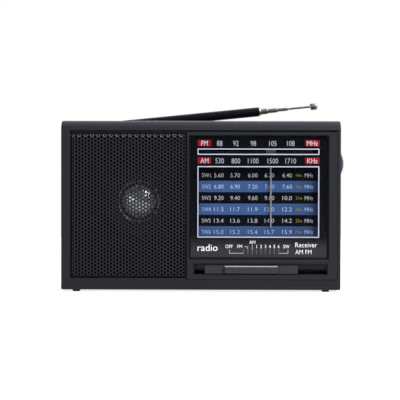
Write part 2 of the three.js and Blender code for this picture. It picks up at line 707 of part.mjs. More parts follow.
// The steel strap inside the rear wall that the antenna's stud is clamped to.
function antennaBracket() {
  const back = REBATE.y - CASE.wall - GAP;
  const strap = block([PIVOT.x - 8, PIVOT.x + 8], [back - 1.4, back], [110, 118]);
  return strap.subtract(rod("y", PIVOT.x, PIVOT.z, STUD.hole, [back - 3, back + 1], 16));
}

// ---------------------------------------------------------------- assembly
piece("front_shell", frontShell(), CASE_PLASTIC);
piece("rear_shell", rearShell(), CASE_PLASTIC);
piece("battery_door", batteryDoor(), CASE_PLASTIC);
for (const [side, x] of [["left", -FOOT.x], ["right", FOOT.x]]) {
  piece(`foot_front_${side}`, foot(x, FOOT.y[0]), RUBBER);
  piece(`foot_rear_${side}`, foot(x, FOOT.y[1]), RUBBER);
}
SCREWS.forEach((place, i) => piece(`case_screw_${i + 1}`, caseScrew(place), STEEL));

piece("speaker_grille", speakerGrille(), GRILLE_METAL);
piece("dial_bezel", dialBezel(), BEZEL_PLASTIC);
piece("dial_lens", dialLens(), LENS_ACRYLIC);
piece("band_slider", bandSlider(), SLIDER_PLASTIC);

piece("dial_plate", block(DIAL_PLATE.x, DIAL_PLATE.y, DIAL_PLATE.z), DIAL_CARD);
piece("dial_chassis", dialChassis(), STEEL);
piece("pointer_rail", pointerRail(), STEEL);
piece("dial_pointer", dialPointer(), POINTER_PLASTIC);
piece("dial_cord", dialCord(), CORD_THREAD);
piece("cord_drum", cordDrum(), PALE_PLASTIC);
piece("idler_left", idler(IDLER.left), PALE_PLASTIC);
piece("idler_right", idler(IDLER.right), PALE_PLASTIC);
piece("tuning_spindle", tuningSpindle(), BRASS);
piece("tuning_wheel", tuningWheel(), BLACK_PLASTIC);

piece("main_board", block(BOARD.x, BOARD.y, BOARD.z), BOARD_RESIN);
piece("tuning_capacitor", tuningCapacitor(), PALE_PLASTIC);
piece("volume_wheel", volumeWheel(), BLACK_PLASTIC);
piece("volume_pot", volumePot(), STEEL);
piece("audio_ic", onBoardBack(CHIP, CHIP.z), BLACK_PLASTIC);
CANS.z.forEach((z, i) => piece(`if_can_${i + 1}`, onBoardBack(CANS, z), ALUMINIUM));
piece("electrolytic_capacitor", electrolyticCapacitor(), BLACK_PLASTIC);
piece("ferrite_rod", rod("x", ROD.y, ROD.z, ROD.radius, ROD.x, 20), FERRITE);
piece("antenna_coil", ring("x", ROD.y, ROD.z, COIL.radius, ROD.radius + GAP, COIL.x, 20), COPPER);
piece("rod_holder_left", rodHolder(HOLDERS.left), PALE_PLASTIC);
piece("rod_holder_right", rodHolder(HOLDERS.right), PALE_PLASTIC);

piece("switch_board", switchBoard(), BOARD_RESIN);
piece("band_switch", bandSwitch(), BLACK_PLASTIC);
piece("switch_lever", block([STEM.x - LEVER.half, STEM.x + LEVER.half], LEVER.y, LEVER.z), BLACK_PLASTIC);
for (const socket of JACKS) piece(socket.name, jack(socket), BLACK_PLASTIC);
piece("battery_spring", batterySpring(), STEEL);
piece("battery_plate", batteryPlate(), STEEL);

piece("speaker_basket", speakerBasket(), STEEL);
piece("speaker_cone", speakerCone(), PAPER);
piece("speaker_dust_cap", speakerDustCap(), ALUMINIUM);
piece("speaker_magnet", ring("y", SPEAKER.x, SPEAKER.z, MAGNET.radius, MAGNET.hole, MAGNET.y, 28), FERRITE);
piece("speaker_yoke", speakerYoke(), STEEL);
piece("speaker_wire", tube(WIRE_ROUTE, 1, 6, 12), RUBBER);

piece("antenna_bracket", antennaBracket(), STEEL);
piece("antenna_swivel", antennaSwivel(), STEEL, antenna);
piece("knuckle_pin", rod("z", 0, 0, 1, [-3.6, 3.6], 12), STEEL, antenna);
piece("antenna_tube", antennaTube(), BLACK_PLASTIC, antenna);
piece("antenna_collar", antennaCollar(), CHROME, antenna);
antennaSections();

// The origin: bottom centre of the whole radio, standing on its feet.
const right = SPINDLE.x + TUNING_WHEEL.radius;
radio.position.set((HALF - right) / 2, (GRIP.proud - CASE.depth) / 2, FOOT.height);

export default radio;
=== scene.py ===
import json
import math

import bmesh
import bpy
import numpy as np
from mathutils import Matrix, Quaternion, Vector
from mathutils.geometry import delaunay_2d_cdt


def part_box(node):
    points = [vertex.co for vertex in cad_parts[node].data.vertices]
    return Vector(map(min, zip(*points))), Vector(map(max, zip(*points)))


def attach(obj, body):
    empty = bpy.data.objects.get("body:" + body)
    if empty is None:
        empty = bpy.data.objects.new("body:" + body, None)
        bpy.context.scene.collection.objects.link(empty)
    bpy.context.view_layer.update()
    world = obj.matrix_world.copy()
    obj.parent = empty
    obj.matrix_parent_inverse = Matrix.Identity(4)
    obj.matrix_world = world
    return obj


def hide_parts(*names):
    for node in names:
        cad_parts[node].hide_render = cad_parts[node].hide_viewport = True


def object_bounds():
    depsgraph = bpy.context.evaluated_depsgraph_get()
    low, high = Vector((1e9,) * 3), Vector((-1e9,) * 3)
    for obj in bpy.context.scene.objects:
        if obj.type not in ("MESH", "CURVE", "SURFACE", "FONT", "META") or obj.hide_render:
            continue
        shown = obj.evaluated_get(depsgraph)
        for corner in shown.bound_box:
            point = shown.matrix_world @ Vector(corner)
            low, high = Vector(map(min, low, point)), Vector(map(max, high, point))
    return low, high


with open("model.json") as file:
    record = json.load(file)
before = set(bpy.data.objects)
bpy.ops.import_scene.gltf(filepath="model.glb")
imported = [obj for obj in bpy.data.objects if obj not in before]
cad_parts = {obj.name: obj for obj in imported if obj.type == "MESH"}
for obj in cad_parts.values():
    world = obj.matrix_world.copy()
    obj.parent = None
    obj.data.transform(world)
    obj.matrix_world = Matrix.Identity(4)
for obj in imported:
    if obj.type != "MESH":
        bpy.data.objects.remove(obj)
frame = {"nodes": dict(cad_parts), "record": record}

CAD_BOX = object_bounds()
MM = 0.001

# ---- places, in millimetres
# Pieces are drawn in millimetres from the middle of the case's lower front edge, as X, Y, Z.
SHELL_LOW, SHELL_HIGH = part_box("front_shell")
ZERO = Vector(((SHELL_LOW.x + SHELL_HIGH.x) / 2, SHELL_LOW.y, SHELL_LOW.z))
TO_FRAME = Matrix.Translation(ZERO) @ Matrix.Scale(MM, 4)


def span(node):
    """A CAD node's lowest and highest corners, in these millimetres."""
    low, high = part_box(node)
    return (low - ZERO) / MM, (high - ZERO) / MM


FRONT = span("front_shell")
HALF = (FRONT[1].x - FRONT[0].x) / 2
HEIGHT, DEPTH = FRONT[1].z, span("rear_shell")[1].y
SEAM = FRONT[1].y
WALL = 2.4
INNER_X = (-HALF + WALL, HALF - WALL)
EDGE, CORNER, BROW = 1.8, 1.2, 9.0  # radii of the case's edges, its corners seen from the front, its brow
REAR_START = SEAM + 0.3
PANEL = 5.3  # depth of the front panel, with its recess
RECESS = 3.3
GRILLE = span("speaker_grille")
BEZEL = span("dial_bezel")
LENS = span("dial_lens")
SLIDER = span("band_slider")
SWIVEL = sum(span("antenna_swivel"), Vector()) / 2
CONE = span("speaker_basket")
SPEAKER_CENTRE = ((CONE[0].x + CONE[1].x) / 2, 0, (CONE[0].z + CONE[1].z) / 2)
GRILLE_RECESS_X = GRILLE[0].x - 1.2
GRILLE_RECESS_Z = (GRILLE[0].z - 0.8, GRILLE[1].z + 3.1)
SCREW_SPANS = [span(f"case_screw_{i}") for i in range(1, 5)]
SCREWS = [((low.x + high.x) / 2, (low.z + high.z) / 2) for low, high in SCREW_SPANS]


# ---- materials
def colour(red, green, blue):
    """A linear colour from 0-255 screen values."""
    channels = [c / 255 for c in (red, green, blue)]
    return (*[c / 12.92 if c <= 0.04045 else ((c + 0.055) / 1.055) ** 2.4 for c in channels], 1)


class Nodes:
    """A material's node tree with its Principled shader, and short calls for the usual nodes."""

    def __init__(self, name):
        self.material = bpy.data.materials.new(name)
        self.material.use_nodes = True
        self.tree = self.material.node_tree
        self.shader = self.tree.nodes["Principled BSDF"]
        self.output = self.tree.nodes["Material Output"]
        self.place = self.add("ShaderNodeTexCoord").outputs["Object"]

    def add(self, kind, **settings):
        node = self.tree.nodes.new(kind)
        for key, value in settings.items():
            setattr(node, key, value)
        return node

    def link(self, source, target):
        self.tree.links.new(source, target)

    def noise(self, size_mm, detail=3.0, stretch=(1, 1, 1)):
        """Noise whose grains are about size_mm across."""
        mapping = self.add("ShaderNodeMapping")
        mapping.inputs["Scale"].default_value = stretch
        self.link(self.place, mapping.inputs["Vector"])
        node = self.add("ShaderNodeTexNoise")
        node.inputs["Scale"].default_value = 1 / (size_mm * MM)
        node.inputs["Detail"].default_value = detail
        self.link(mapping.outputs["Vector"], node.inputs["Vector"])
        return node.outputs["Fac"]

    def ranged(self, value, low, high, start=0.3, end=0.7):
        """The value carried from start..end to low..high."""
        node = self.add("ShaderNodeMapRange")
        for socket, number in zip(("From Min", "From Max", "To Min", "To Max"), (start, end, low, high)):
            node.inputs[socket].default_value = number
        self.link(value, node.inputs["Value"])
        return node.outputs["Result"]

    def blend(self, factor, first, second):
        """Mixes two colours. The node's colour sockets have no names of their own, so they go by number."""
        node = self.add("ShaderNodeMix", data_type="RGBA")
        for socket, value in ((node.inputs[6], first), (node.inputs[7], second)):
            if isinstance(value, tuple):
                socket.default_value = value
            else:
                self.link(value, socket)
        if isinstance(factor, float):
            node.inputs[0].default_value = factor
        else:
            self.link(factor, node.inputs[0])
        return node.outputs[2]

    def bump(self, height, depth_mm):
        node = self.add("ShaderNodeBump")
        node.inputs["Distance"].default_value = depth_mm * MM
        node.inputs["Strength"].default_value = 1.0
        self.link(height, node.inputs["Height"])
        self.link(node.outputs["Normal"], self.shader.inputs["Normal"])


MATERIALS = {}
DRIFT_MM = 28  # how far apart a surface's slow changes of tone are


def shaded(base, share):
    return (*[c * share for c in base[:3]], 1)


def surface(name, base, roughness, grain_mm=0.4, grain_depth=0.02, tone=0.12, metallic=0.0, specular=0.25,
            stretch=(1, 1, 1)):
    """Makes a material with fine bumps, roughness that follows them, and a slow drift of tone."""
    nodes = Nodes(name)
    grain = nodes.noise(grain_mm, 3, stretch)
    drift = nodes.noise(DRIFT_MM, 2)
    darker, lighter = (shaded(colour(*base), share) for share in (1 - tone, 1 + tone))
    tint = nodes.blend(nodes.ranged(drift, 0, 1), darker, lighter)
    speck = nodes.blend(nodes.ranged(grain, 0, 1), darker, lighter)
    nodes.link(nodes.blend(0.5, tint, speck), nodes.shader.inputs["Base Color"])
    spread = min(0.08, roughness * 0.25)
    nodes.link(nodes.ranged(grain, roughness - spread, roughness + spread), nodes.shader.inputs["Roughness"])
    nodes.bump(grain, grain_depth)
    nodes.shader.inputs["Metallic"].default_value = metallic
    nodes.shader.inputs["Specular IOR Level"].default_value = specular
    MATERIALS[name] = nodes.material


def lens_pane():
    """Clear acrylic: it lets light straight through, and reflects more the flatter it is seen."""
    nodes = Nodes("lens_clear")
    nodes.tree.nodes.remove(nodes.shader)
    slant = nodes.add("ShaderNodeLayerWeight")
    steep = nodes.add("ShaderNodeMath", operation="POWER")
    steep.inputs[1].default_value = 5.0
    nodes.link(slant.outputs["Facing"], steep.inputs[0])
    clear = nodes.add("ShaderNodeBsdfTransparent")
    clear.inputs["Color"].default_value = (0.98, 0.985, 0.99, 1)
    gloss = nodes.add("ShaderNodeBsdfGlossy")
    nodes.link(nodes.ranged(nodes.noise(9, 4), 0.1, 0.14), gloss.inputs["Roughness"])
    mix = nodes.add("ShaderNodeMixShader")
    nodes.link(nodes.ranged(steep.outputs[0], 0, 0.8, 0.05, 1), mix.inputs[0])
    nodes.link(clear.outputs[0], mix.inputs[1])
    nodes.link(gloss.outputs[0], mix.inputs[2])
    nodes.link(mix.outputs[0], nodes.output.inputs["Surface"])
    return nodes.material


def turned_metal(name, base, roughness):
    """Plated or turned metal, with fine marks that run round its axis."""
    surface(name, base, roughness, 0.5, 0.003, 0.06, metallic=1.0, stretch=(8, 1, 1))


def faded_ink(name, axis, ends, first, last, speck, share, grain_mm):
    """Glossy ink that goes from one colour to another between two places on an axis, with fine specks."""
    nodes = Nodes(name)
    split = nodes.add("ShaderNodeSeparateXYZ")
    nodes.link(nodes.place, split.inputs[0])
    start, end = (ZERO["XYZ".index(axis)] + place * MM for place in ends)
    fade = nodes.ranged(split.outputs[axis], 0, 1, start, end)
    base = nodes.blend(fade, colour(*first), colour(*last))
    speckle = nodes.blend(nodes.ranged(nodes.noise(0.5), 0, share), base, colour(*speck))
    nodes.link(speckle, nodes.shader.inputs["Base Color"])
    nodes.shader.inputs["Roughness"].default_value = 0.18
    nodes.shader.inputs["Specular IOR Level"].default_value = 0.12
    nodes.bump(nodes.noise(grain_mm), 0.0004)
    return nodes.material


def ink(name, base):
    """Printing on the back of the lens or on the dial card."""
    surface(name, base, 0.6, 0.3, 0.003, 0.04, specular=0.1)


surface("case_plastic", (26, 27, 32), 0.56, 0.45, 0.016, 0.06, specular=0.14)
surface("bezel_plastic", (29, 30, 35), 0.46, 0.4, 0.01, 0.06, specular=0.14)
surface("slider_plastic", (44, 45, 50), 0.42, 0.4, 0.01, 0.06, specular=0.14)
surface("grille_metal", (24, 25, 31), 0.4, 0.25, 0.006, 0.08, specular=0.16)
# Pale metal: on the rings round the grille's top row it is a painted glint, on the cone's collar it is the
# collar's own colour.
surface("pale_metal_and_painted_glint", (126, 128, 140), 0.35, 0.25, 0.004, 0.05, metallic=0.5)
# Pale grey for the strip along the grip's top edge: a painted highlight, not a lit surface.
surface("grip_painted_highlight", (132, 134, 144), 0.4, 1.3, 0.01, 0.3)
# Black of the lens's printed mask; the strip above the slider also uses it, as painted shadow.
surface("black_print_and_painted_shadow", (9, 11, 15), 0.16, 0.8, 0.0004, 0.1, specular=0.12)
ink("ink_white", (228, 230, 235))
ink("ink_figures", (166, 168, 176))
ink("ink_dial", (158, 161, 168))
ink("ink_red", (122, 5, 16))
ink("ink_yellow", (122, 112, 50))
ink("ink_pale_blue", (148, 166, 200))
ink("ink_tick", (84, 84, 86))
ink("ink_line", (150, 151, 156))
ink("ink_outline", (172, 173, 190))
# Near-black: the dial card's own colour, and also the painted shade of the strips behind the upper window.
surface("dial_card", (7, 9, 15), 0.16, 0.8, 0.0004, 0.1, specular=0.12)
surface("pointer_plastic", (115, 115, 117), 0.5, 0.4, 0.004, 0.05)
surface("carrier_plastic", (92, 92, 98), 0.5, 0.4, 0.004, 0.05)
turned_metal("chrome", (146, 141, 133), 0.36)
surface("steel", (168, 168, 166), 0.38, 0.6, 0.006, 0.12, metallic=1.0)
turned_metal("brass", (198, 160, 84), 0.3)
surface("aluminium", (220, 222, 226), 0.3, 0.5, 0.003, 0.04, metallic=0.7, specular=0.5)
surface("ferrite", (40, 39, 40), 0.6, 0.5, 0.03, 0.15)
surface("paper", (14, 13, 13), 0.85, 0.9, 0.06, 0.2, stretch=(1, 2, 1))
surface("felt", (9, 9, 10), 0.95, 0.35, 0.08, 0.2, specular=0.03)
surface("blackened_steel", (27, 29, 34), 0.5, 0.6, 0.004, 0.12)
surface("rubber", (22, 22, 23), 0.75, 0.5, 0.02, 0.12)
surface("board_resin", (116, 80, 38), 0.5, 0.9, 0.01, 0.12, stretch=(1, 1, 4))
surface("pale_plastic", (196, 190, 172), 0.45, 0.5, 0.01, 0.06)
surface("black_plastic", (12, 12, 14), 0.45, 0.4, 0.01, 0.1, specular=0.12)
surface("wheel_plastic", (56, 57, 62), 0.4, 0.4, 0.01, 0.08)
surface("copper", (176, 96, 52), 0.35, 0.5, 0.03, 0.15, metallic=0.8, stretch=(6, 1, 1))
surface("cord_thread", (92, 86, 72), 0.8, 0.35, 0.04, 0.15, stretch=(3, 1, 3))
surface("antenna_black", (9, 10, 14), 0.42, 0.6, 0.002, 0.1, specular=0.1)
MATERIALS["lens_acrylic"] = lens_pane()
MATERIALS["mask_grey"] = faded_ink(
    "mask_grey", "Z", (29, 37), first=(45, 44, 46), last=(9, 11, 15), speck=(40, 40, 41), share=0.2,
    grain_mm=0.5,
)
MATERIALS["blue_band"] = faded_ink(
    "dial_blue_ink", "X", (45, 86), first=(52, 75, 115), last=(42, 59, 90), speck=(34, 46, 78), share=0.12,
    grain_mm=0.8,
)


# ---- mesh making, in millimetres
def placed(name, data):
    """A new object that holds this data, in the scene."""
    obj = bpy.data.objects.new(name, data)
    bpy.context.scene.collection.objects.link(obj)
    return obj


def solid(points, faces):
    """A new object with this mesh, still in millimetres, with its faces turned outwards."""
    mesh = bpy.data.meshes.new("solid")
    mesh.from_pydata([tuple(map(float, p)) for p in points], [], faces)
    work = bmesh.new()
    work.from_mesh(mesh)
    bmesh.ops.remove_doubles(work, verts=work.verts, dist=1e-5)
    bmesh.ops.recalc_face_normals(work, faces=work.faces)
    work.to_mesh(mesh)
    work.free()
    return placed("solid", mesh)


def loft(rings, closed=False):
    """Rings of equal counts joined one to the next; the ends are capped, or joined if closed."""
    count = len(rings[0])
    points = [p for ring in rings for p in ring]
    pairs = list(range(len(rings) - 1)) + ([len(rings) - 1] if closed else [])
    faces = []
    for i in pairs:
        a, b = i * count, ((i + 1) % len(rings)) * count
        faces += [(a + j, a + (j + 1) % count, b + (j + 1) % count, b + j) for j in range(count)]
    if not closed:
        faces += [tuple(range(count)), tuple(range(len(points) - count, len(points)))]
    return solid(points, faces)


def box(x, y, z):
    corners = [[(x[0], v, z[0]), (x[1], v, z[0]), (x[1], v, z[1]), (x[0], v, z[1])] for v in y]
    return loft(corners)


def hoop(outer, inner, y):
    """A flat ring between two outlines of equal counts, from y[0] to y[1]."""
    edges = ((outer, y[0]), (inner, y[0]), (inner, y[1]), (outer, y[1]))
    return loft([[(u, depth, v) for u, v in outline] for outline, depth in edges], closed=True)


def rounded(u, v, radius, steps=6):
    """A rounded rectangle's outline as (u, v) pairs, anticlockwise."""
    corners = [
        (u[0], v[0], 1, 1, 180), (u[1], v[0], -1, 1, 270), (u[1], v[1], -1, -1, 0), (u[0], v[1], 1, -1, 90),
    ]
    outline = []
    for cu, cv, su, sv, start in corners:
        outline += arc(cu + su * radius, cv + sv * radius, radius, start, start + 90, steps)
    return outline


def plate(x, z, y, radius, ease=0.0):
    """A rounded plate from y[0] to y[1]. Where ease is given, a quarter round of it eases the front edge."""
    angles = np.linspace(math.pi / 2, 0, 5)
    eased = [(y[0] + ease * (1 - math.sin(a)), ease * (1 - math.cos(a))) for a in angles]
    rings = []
    for depth, inset in (*(eased if ease else [(y[0], 0)]), (y[1], 0)):
        inner_x, inner_z = (x[0] + inset, x[1] - inset), (z[0] + inset, z[1] - inset)
        outline = rounded(inner_x, inner_z, max(radius - inset, 0.05))
        rings.append([(u, depth, v) for u, v in outline])
    return loft(rings)


def lathe(profile, centre, segments=48, axis="y"):
    """A turned piece about an axis. The profile is (radius, along) pairs and closes on itself."""
    angles = [2 * math.pi * i / segments for i in range(segments)]

    def place(r, along, a):
        u, v = r * math.cos(a), r * math.sin(a)
        turned = {"y": (u, along, v), "x": (along, u, v), "z": (u, v, along)}[axis]
        return tuple(c + t for c, t in zip(centre, turned))

    rings = [[place(r, along, a) for a in angles] for r, along in profile]
    on_axis = profile[0][0] < 1e-6 and profile[-1][0] < 1e-6
    return loft(rings, closed=not on_axis)


def rod(radius, ends, centre, segments, axis="y"):
    """A round bar between two places along its axis."""
    start, end = ends
    return lathe([(0, start), (radius, start), (radius, end), (0, end)], centre, segments, axis)


def arc(cu, cv, radius, start, end, steps):
    """Points on an arc between two angles in degrees."""
    angles = [math.radians(start + (end - start) * i / steps) for i in range(steps + 1)]
    return [(cu + radius * math.cos(a), cv + radius * math.sin(a)) for a in angles]


def combined(body, tools, operation="DIFFERENCE"):
    """The body with each tool cut from it or joined to it."""
    for tool in tools:
        modifier = body.modifiers.new("combine", "BOOLEAN")
        modifier.operation = operation
        modifier.solver = "EXACT"
        modifier.object = tool
    graph = bpy.context.evaluated_depsgraph_get()
    mesh = bpy.data.meshes.new_from_object(body.evaluated_get(graph), depsgraph=graph)
    body.modifiers.clear()
    body.data = mesh
    for tool in tools:
        bpy.data.objects.remove(tool)
    return body


def flattened(body, merge=0.02):
    """Joins points closer than merge, and faces that lie in one plane, so that bevels run clean."""
    work = bmesh.new()
    work.from_mesh(body.data)
    bmesh.ops.remove_doubles(work, verts=work.verts, dist=merge)
    bmesh.ops.dissolve_limit(work, angle_limit=math.radians(1), verts=work.verts, edges=work.edges)
    work.to_mesh(body.data)
    work.free()
    return body


def finished(obj, name, material, body, replaces=(), bevel=0.0, sharp=38):
    """Names a piece, moves it into the frame, gives it its material and sets what it rides on."""
    obj.name = name
    obj.data.name = name
    obj.data.transform(TO_FRAME)
    obj.data.materials.clear()
    obj.data.materials.append(MATERIALS[material])
    obj.data.polygons.foreach_set("use_smooth", [True] * len(obj.data.polygons))
    obj.data.set_sharp_from_angle(angle=math.radians(sharp))
    if bevel:
        edge = obj.modifiers.new("edge", "BEVEL")
        edge.width = bevel * MM
        edge.segments = 3
        edge.limit_method = "ANGLE"
        edge.angle_limit = math.radians(sharp)
        edge.miter_outer = "MITER_ARC"
    normals = obj.modifiers.new("normals", "WEIGHTED_NORMAL")
    normals.keep_sharp = True
    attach(obj, body)
    if replaces:
        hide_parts(*replaces)
    return obj


# ---- case
def case_inset(y, radius, front):
    """How far a rounded edge has drawn in at depth y."""
    depth = y if front else DEPTH - y
    return 0.0 if depth >= radius else radius - math.sqrt(max(radius ** 2 - (radius - depth) ** 2, 0))


def case_block(start, end, front):
    """The case's outside between two depths, as a loft of rounded rectangles."""
    turns = [0, 4, 12, 24, 38, 54, 72, 90]  # degrees round an edge, closer together where it starts
    depths = {start, end}
    for radius in (EDGE, BROW) if front else (EDGE,):
        offsets = [radius * (1 - math.cos(math.radians(90 - t))) for t in turns]
        depths |= {round(o if front else DEPTH - o, 4) for o in offsets}
    rings = []
    for y in sorted(d for d in depths if start <= d <= end):
        side = case_inset(y, EDGE, front)
        top = case_inset(y, BROW if front else EDGE, front)
        corner = max(CORNER - side, 0.4)
        outline = rounded((-HALF + side, HALF - side), (side, HEIGHT - top), corner, 5)
        rings.append([(u, y, v) for u, v in outline])
    return loft(rings)


def front_shell():
    tuning, volume = span("tuning_wheel"), span("volume_wheel")
    shell = case_block(0.0, SEAM, True)
    slot_x = (HALF - WALL - 2, HALF + 3)
    tuning_slot = plate((tuning[0].y - 0.6, tuning[1].y + 0.6), (77.2, 103.6), (0, 1), 1.5)
    # The tuning slot's cutter is drawn as a plate facing the front, then turned to face the side.
    tuning_slot.data.transform(Matrix(((0, 1, 0, 0), (1, 0, 0, 0), (0, 0, 1, 0), (0, 0, 0, 1))))
    tuning_slot.data.transform(Matrix.Translation((slot_x[0], 0, 0)) @ Matrix.Diagonal((6, 1, 1, 1)))
    tuning_slot.data.flip_normals()
    speaker_hole, scoop_radius, scoop_depth, slot_half = 31, 31.0, 1.4, 8.4
    volume_y, volume_z = volume[0].y, (volume[0].z + volume[1].z) / 2
    scoop_centre = (HALF + scoop_radius - scoop_depth, 0, volume_z)
    behind_panel = (2, 7)
    cuts = [
        box(INNER_X, (PANEL, SEAM + 5), (WALL, HEIGHT - WALL - 0.6)),
        plate((GRILLE_RECESS_X, BEZEL[0].x + 0.1), GRILLE_RECESS_Z, (-1, RECESS), 1.2),
        box((BEZEL[0].x - 0.3, BEZEL[1].x + 0.3), (-1, RECESS), (BEZEL[0].z - 0.3, BEZEL[1].z + 0.8)),
        box((BEZEL[1].x - 1, HALF + 1), (-1, 1.3), (BEZEL[1].z - 0.05, BEZEL[1].z + 0.75)),
        rod(speaker_hole, behind_panel, SPEAKER_CENTRE, 72),
        box((-5, 88), behind_panel, (24, 108)),  # behind the lens
        box((-8, 93.6), behind_panel, (8.6, 20.4)),  # behind the band slider
        tuning_slot,
        rod(scoop_radius, (volume_y - 3, volume_y + 7.5), scoop_centre, 96),
        box(slot_x, (volume_y - 0.6, volume_y + 5.1), (volume_z - slot_half, volume_z + slot_half)),
    ]
    combined(shell, cuts)
    chamfer_grille_frame(shell)
    combined(shell, foot_pockets(span("foot_front_left")[0].y))
    return case_piece(shell, "front_case", "front_shell")


def case_piece(shell, name, node):
    return finished(flattened(shell), name, "case_plastic", "case", [node], 0.3)


def chamfer_grille_frame(shell):
    """A slope down the left of the speaker's recess."""
    width, depth = 1.8, 1.3
    x = GRILLE_RECESS_X
    profile = [(x - width, -0.6), (x + 0.2, -0.6), (x + 0.2, depth)]
    combined(shell, [loft([[(u, v, level) for u, v in profile] for level in GRILLE_RECESS_Z])])


def foot_pockets(y):
    """Cutters for the two pockets in the bottom that the feet at this depth sit in."""
    foot = span("foot_front_left")
    gap, length, depth = 0.3, foot[1].y - foot[0].y, 0.8
    half = (foot[1].x - foot[0].x) / 2 + gap
    centre = abs(foot[0].x + foot[1].x) / 2
    around = (y - gap, y + length + gap)
    return [box((side * centre - half, side * centre + half), around, (-1, depth)) for side in (-1, 1)]


def rear_shell():
    door = span("battery_door")
    bay_half, bay_z, post_radius = 64.0, (2.7, 38.4), 4.3
    pin_y, pin_z = 62.75, 5.2
    rebate_y, rebate_z = 53.0, 112.5  # the step in which the folded antenna lies
    shell = case_block(REAR_START, DEPTH, False)
    inner = [
        box(INNER_X, (REAR_START - 1, DEPTH - WALL), (WALL, rebate_z - WALL)),
        box(INNER_X, (REAR_START - 1, rebate_y - WALL), (rebate_z - WALL - 0.5, HEIGHT - WALL)),
    ]
    combined(shell, inner)
    bay_walls = (-bay_half - 2, bay_half + 2)
    bay = box(bay_walls, (REAR_START, DEPTH - 1.5), (1.5, bay_z[1] + 2))
    front = box(bay_walls, (22.4, REAR_START + 1), (bay_z[0], bay_z[1] + 2))
    posts = [rod(post_radius, (REAR_START, DEPTH - 1), (x, 0, z), 24) for x, z in SCREWS]
    combined(shell, [bay, front, *posts], "UNION")
    cuts = [
        box((-HALF - 1, HALF + 1), (rebate_y, DEPTH + 1), (rebate_z, HEIGHT + 1)),
        box((-bay_half, bay_half), (24.4, 61.4), bay_z),
        box((-65.3, 65.3), (61.3, DEPTH + 1), (door[0].z - 0.3, door[1].z + 0.3)),
        rod(1.9, (49, 54), (SWIVEL.x, 0, SWIVEL.z), 24),  # hole for the swivel's stud
        box((SWIVEL.x - 5, SWIVEL.x + 5), (45.9, rebate_y - WALL + 0.1), (rebate_z, 119.8)),  # for its nut
        rod(0.9, (-67, 67), (0, pin_y, pin_z), 16, "x"),  # hole for the door's hinge pin
    ]
    for name in ("earphone_jack", "dc_jack"):
        low, high = span(name)
        middle = (low + high) / 2
        cuts.append(rod(3.2, (-4, 4), (-HALF, middle.y, middle.z), 32, "x"))
    bore = [(0, 20), (1.7, 20), (1.7, 60), (3.4, 60), (3.4, 66), (0, 66)]
    cuts += [lathe(bore, (x, 0, z), 32) for x, z in SCREWS]
    combined(shell, cuts)
    combined(shell, foot_pockets(span("foot_rear_left")[0].y))
    return case_piece(shell, "rear_case", "rear_shell")


def seam_gasket():
    """A thin black gasket in the seam between the shells."""
    outer, inner = (rounded((-HALF + inset, HALF - inset), (inset, HEIGHT - inset), corner, 3)
                    for inset, corner in ((0.9, 0.6), (2.2, 0.3)))
    ring = hoop(outer, inner, (SEAM + 0.02, REAR_START - 0.02))
    return finished(ring, "seam_gasket", "rubber", "case", sharp=30)


def copied(node, name, material, body, bevel, sharp=38):
    """A CAD node's own shape with its flat faces joined and its edges eased."""
    mesh = frame["nodes"][node].data.copy()
    mesh.transform(TO_FRAME.inverted())
    obj = flattened(placed(name, mesh), 0.001)
    return finished(obj, name, material, body, [node], bevel, sharp)


# ---- speaker grille
def perforated_grille():
    """The punched sheet, drawn flat as hexagonal cells with a hole each, then bent into its pan."""
    pitch, hole, lip = 2.62, 0.89, 0.11
    bend, sheet = 1.2, 0.6
    low, high = GRILLE
    inner_low = np.array([low.x + bend, low.z + bend])
    inner_high = np.array([high.x + 0.4 - bend, high.z - bend])
    reach = bend * math.pi / 2 + (high.y - low.y - bend)
    top = inner_high[1] + 0.55
    centres = hole_centres((low.x + high.x) / 2, (inner_low[1] - 0.9, top), pitch)
    sides = 12  # each hole's, and its cell's with the middle of each side counted as a corner
    angles = np.radians(np.arange(0, 360, 360 / sides))
    corner = pitch / 2 / math.cos(math.radians(30))
    cell = np.where(np.arange(sides) % 2 == 0, corner, pitch / 2)
    flat, faces, index = [], [], {}

    def vertex(u, v, depth):
        key = (round(u, 3), round(v, 3), depth)
        if key not in index:
            index[key] = len(flat)
            flat.append((u, v, depth))
        return index[key]

    # Rings round the top row's holes, in pale metal: painted glints where the bend catches the light.
    rims = [ring_tube(cx, cz, hole + 0.1, 0.1) for cx, cz in centres if cz > top - 0.1]
    rim_points = np.array([p for points, _ in rims for p in points])
    each = len(rims[0][0])
    rim_faces = [tuple(i + k * each for i in face) for k, (_, made) in enumerate(rims) for face in made]
    cell_edges = []
    for cx, cz in centres:
        loops = []
        for radius, depth in ((cell, 0.0), (hole + lip, 0.0), (hole, lip), (hole, sheet), (cell, sheet)):
            us, vs = cx + radius * np.cos(angles), cz + radius * np.sin(angles)
            loops.append([vertex(u, v, depth) for u, v in zip(us, vs)])
        for a, b in zip(loops, loops[1:]):
            faces += [(a[j], a[(j + 1) % sides], b[(j + 1) % sides], b[j]) for j in range(sides)]
        cell_edges += [(loops[0][j], loops[0][(j + 1) % sides]) for j in range(sides)]
    margin_faces(flat, faces, vertex, field_outline(cell_edges), inner_low, inner_high, reach, sheet)
    bent = bend_sheet(np.array(flat), inner_low, inner_high, bend, low.y)
    rolled = solid(bend_sheet(rim_points, inner_low, inner_high, bend, low.y), rim_faces)
    finished(rolled, "top_row_painted_glints", "pale_metal_and_painted_glint", "case", sharp=50)
    slot = "grille_metal"
    return finished(solid(bent, faces), "punched_grille", slot, "case", ["speaker_grille"], sharp=50)


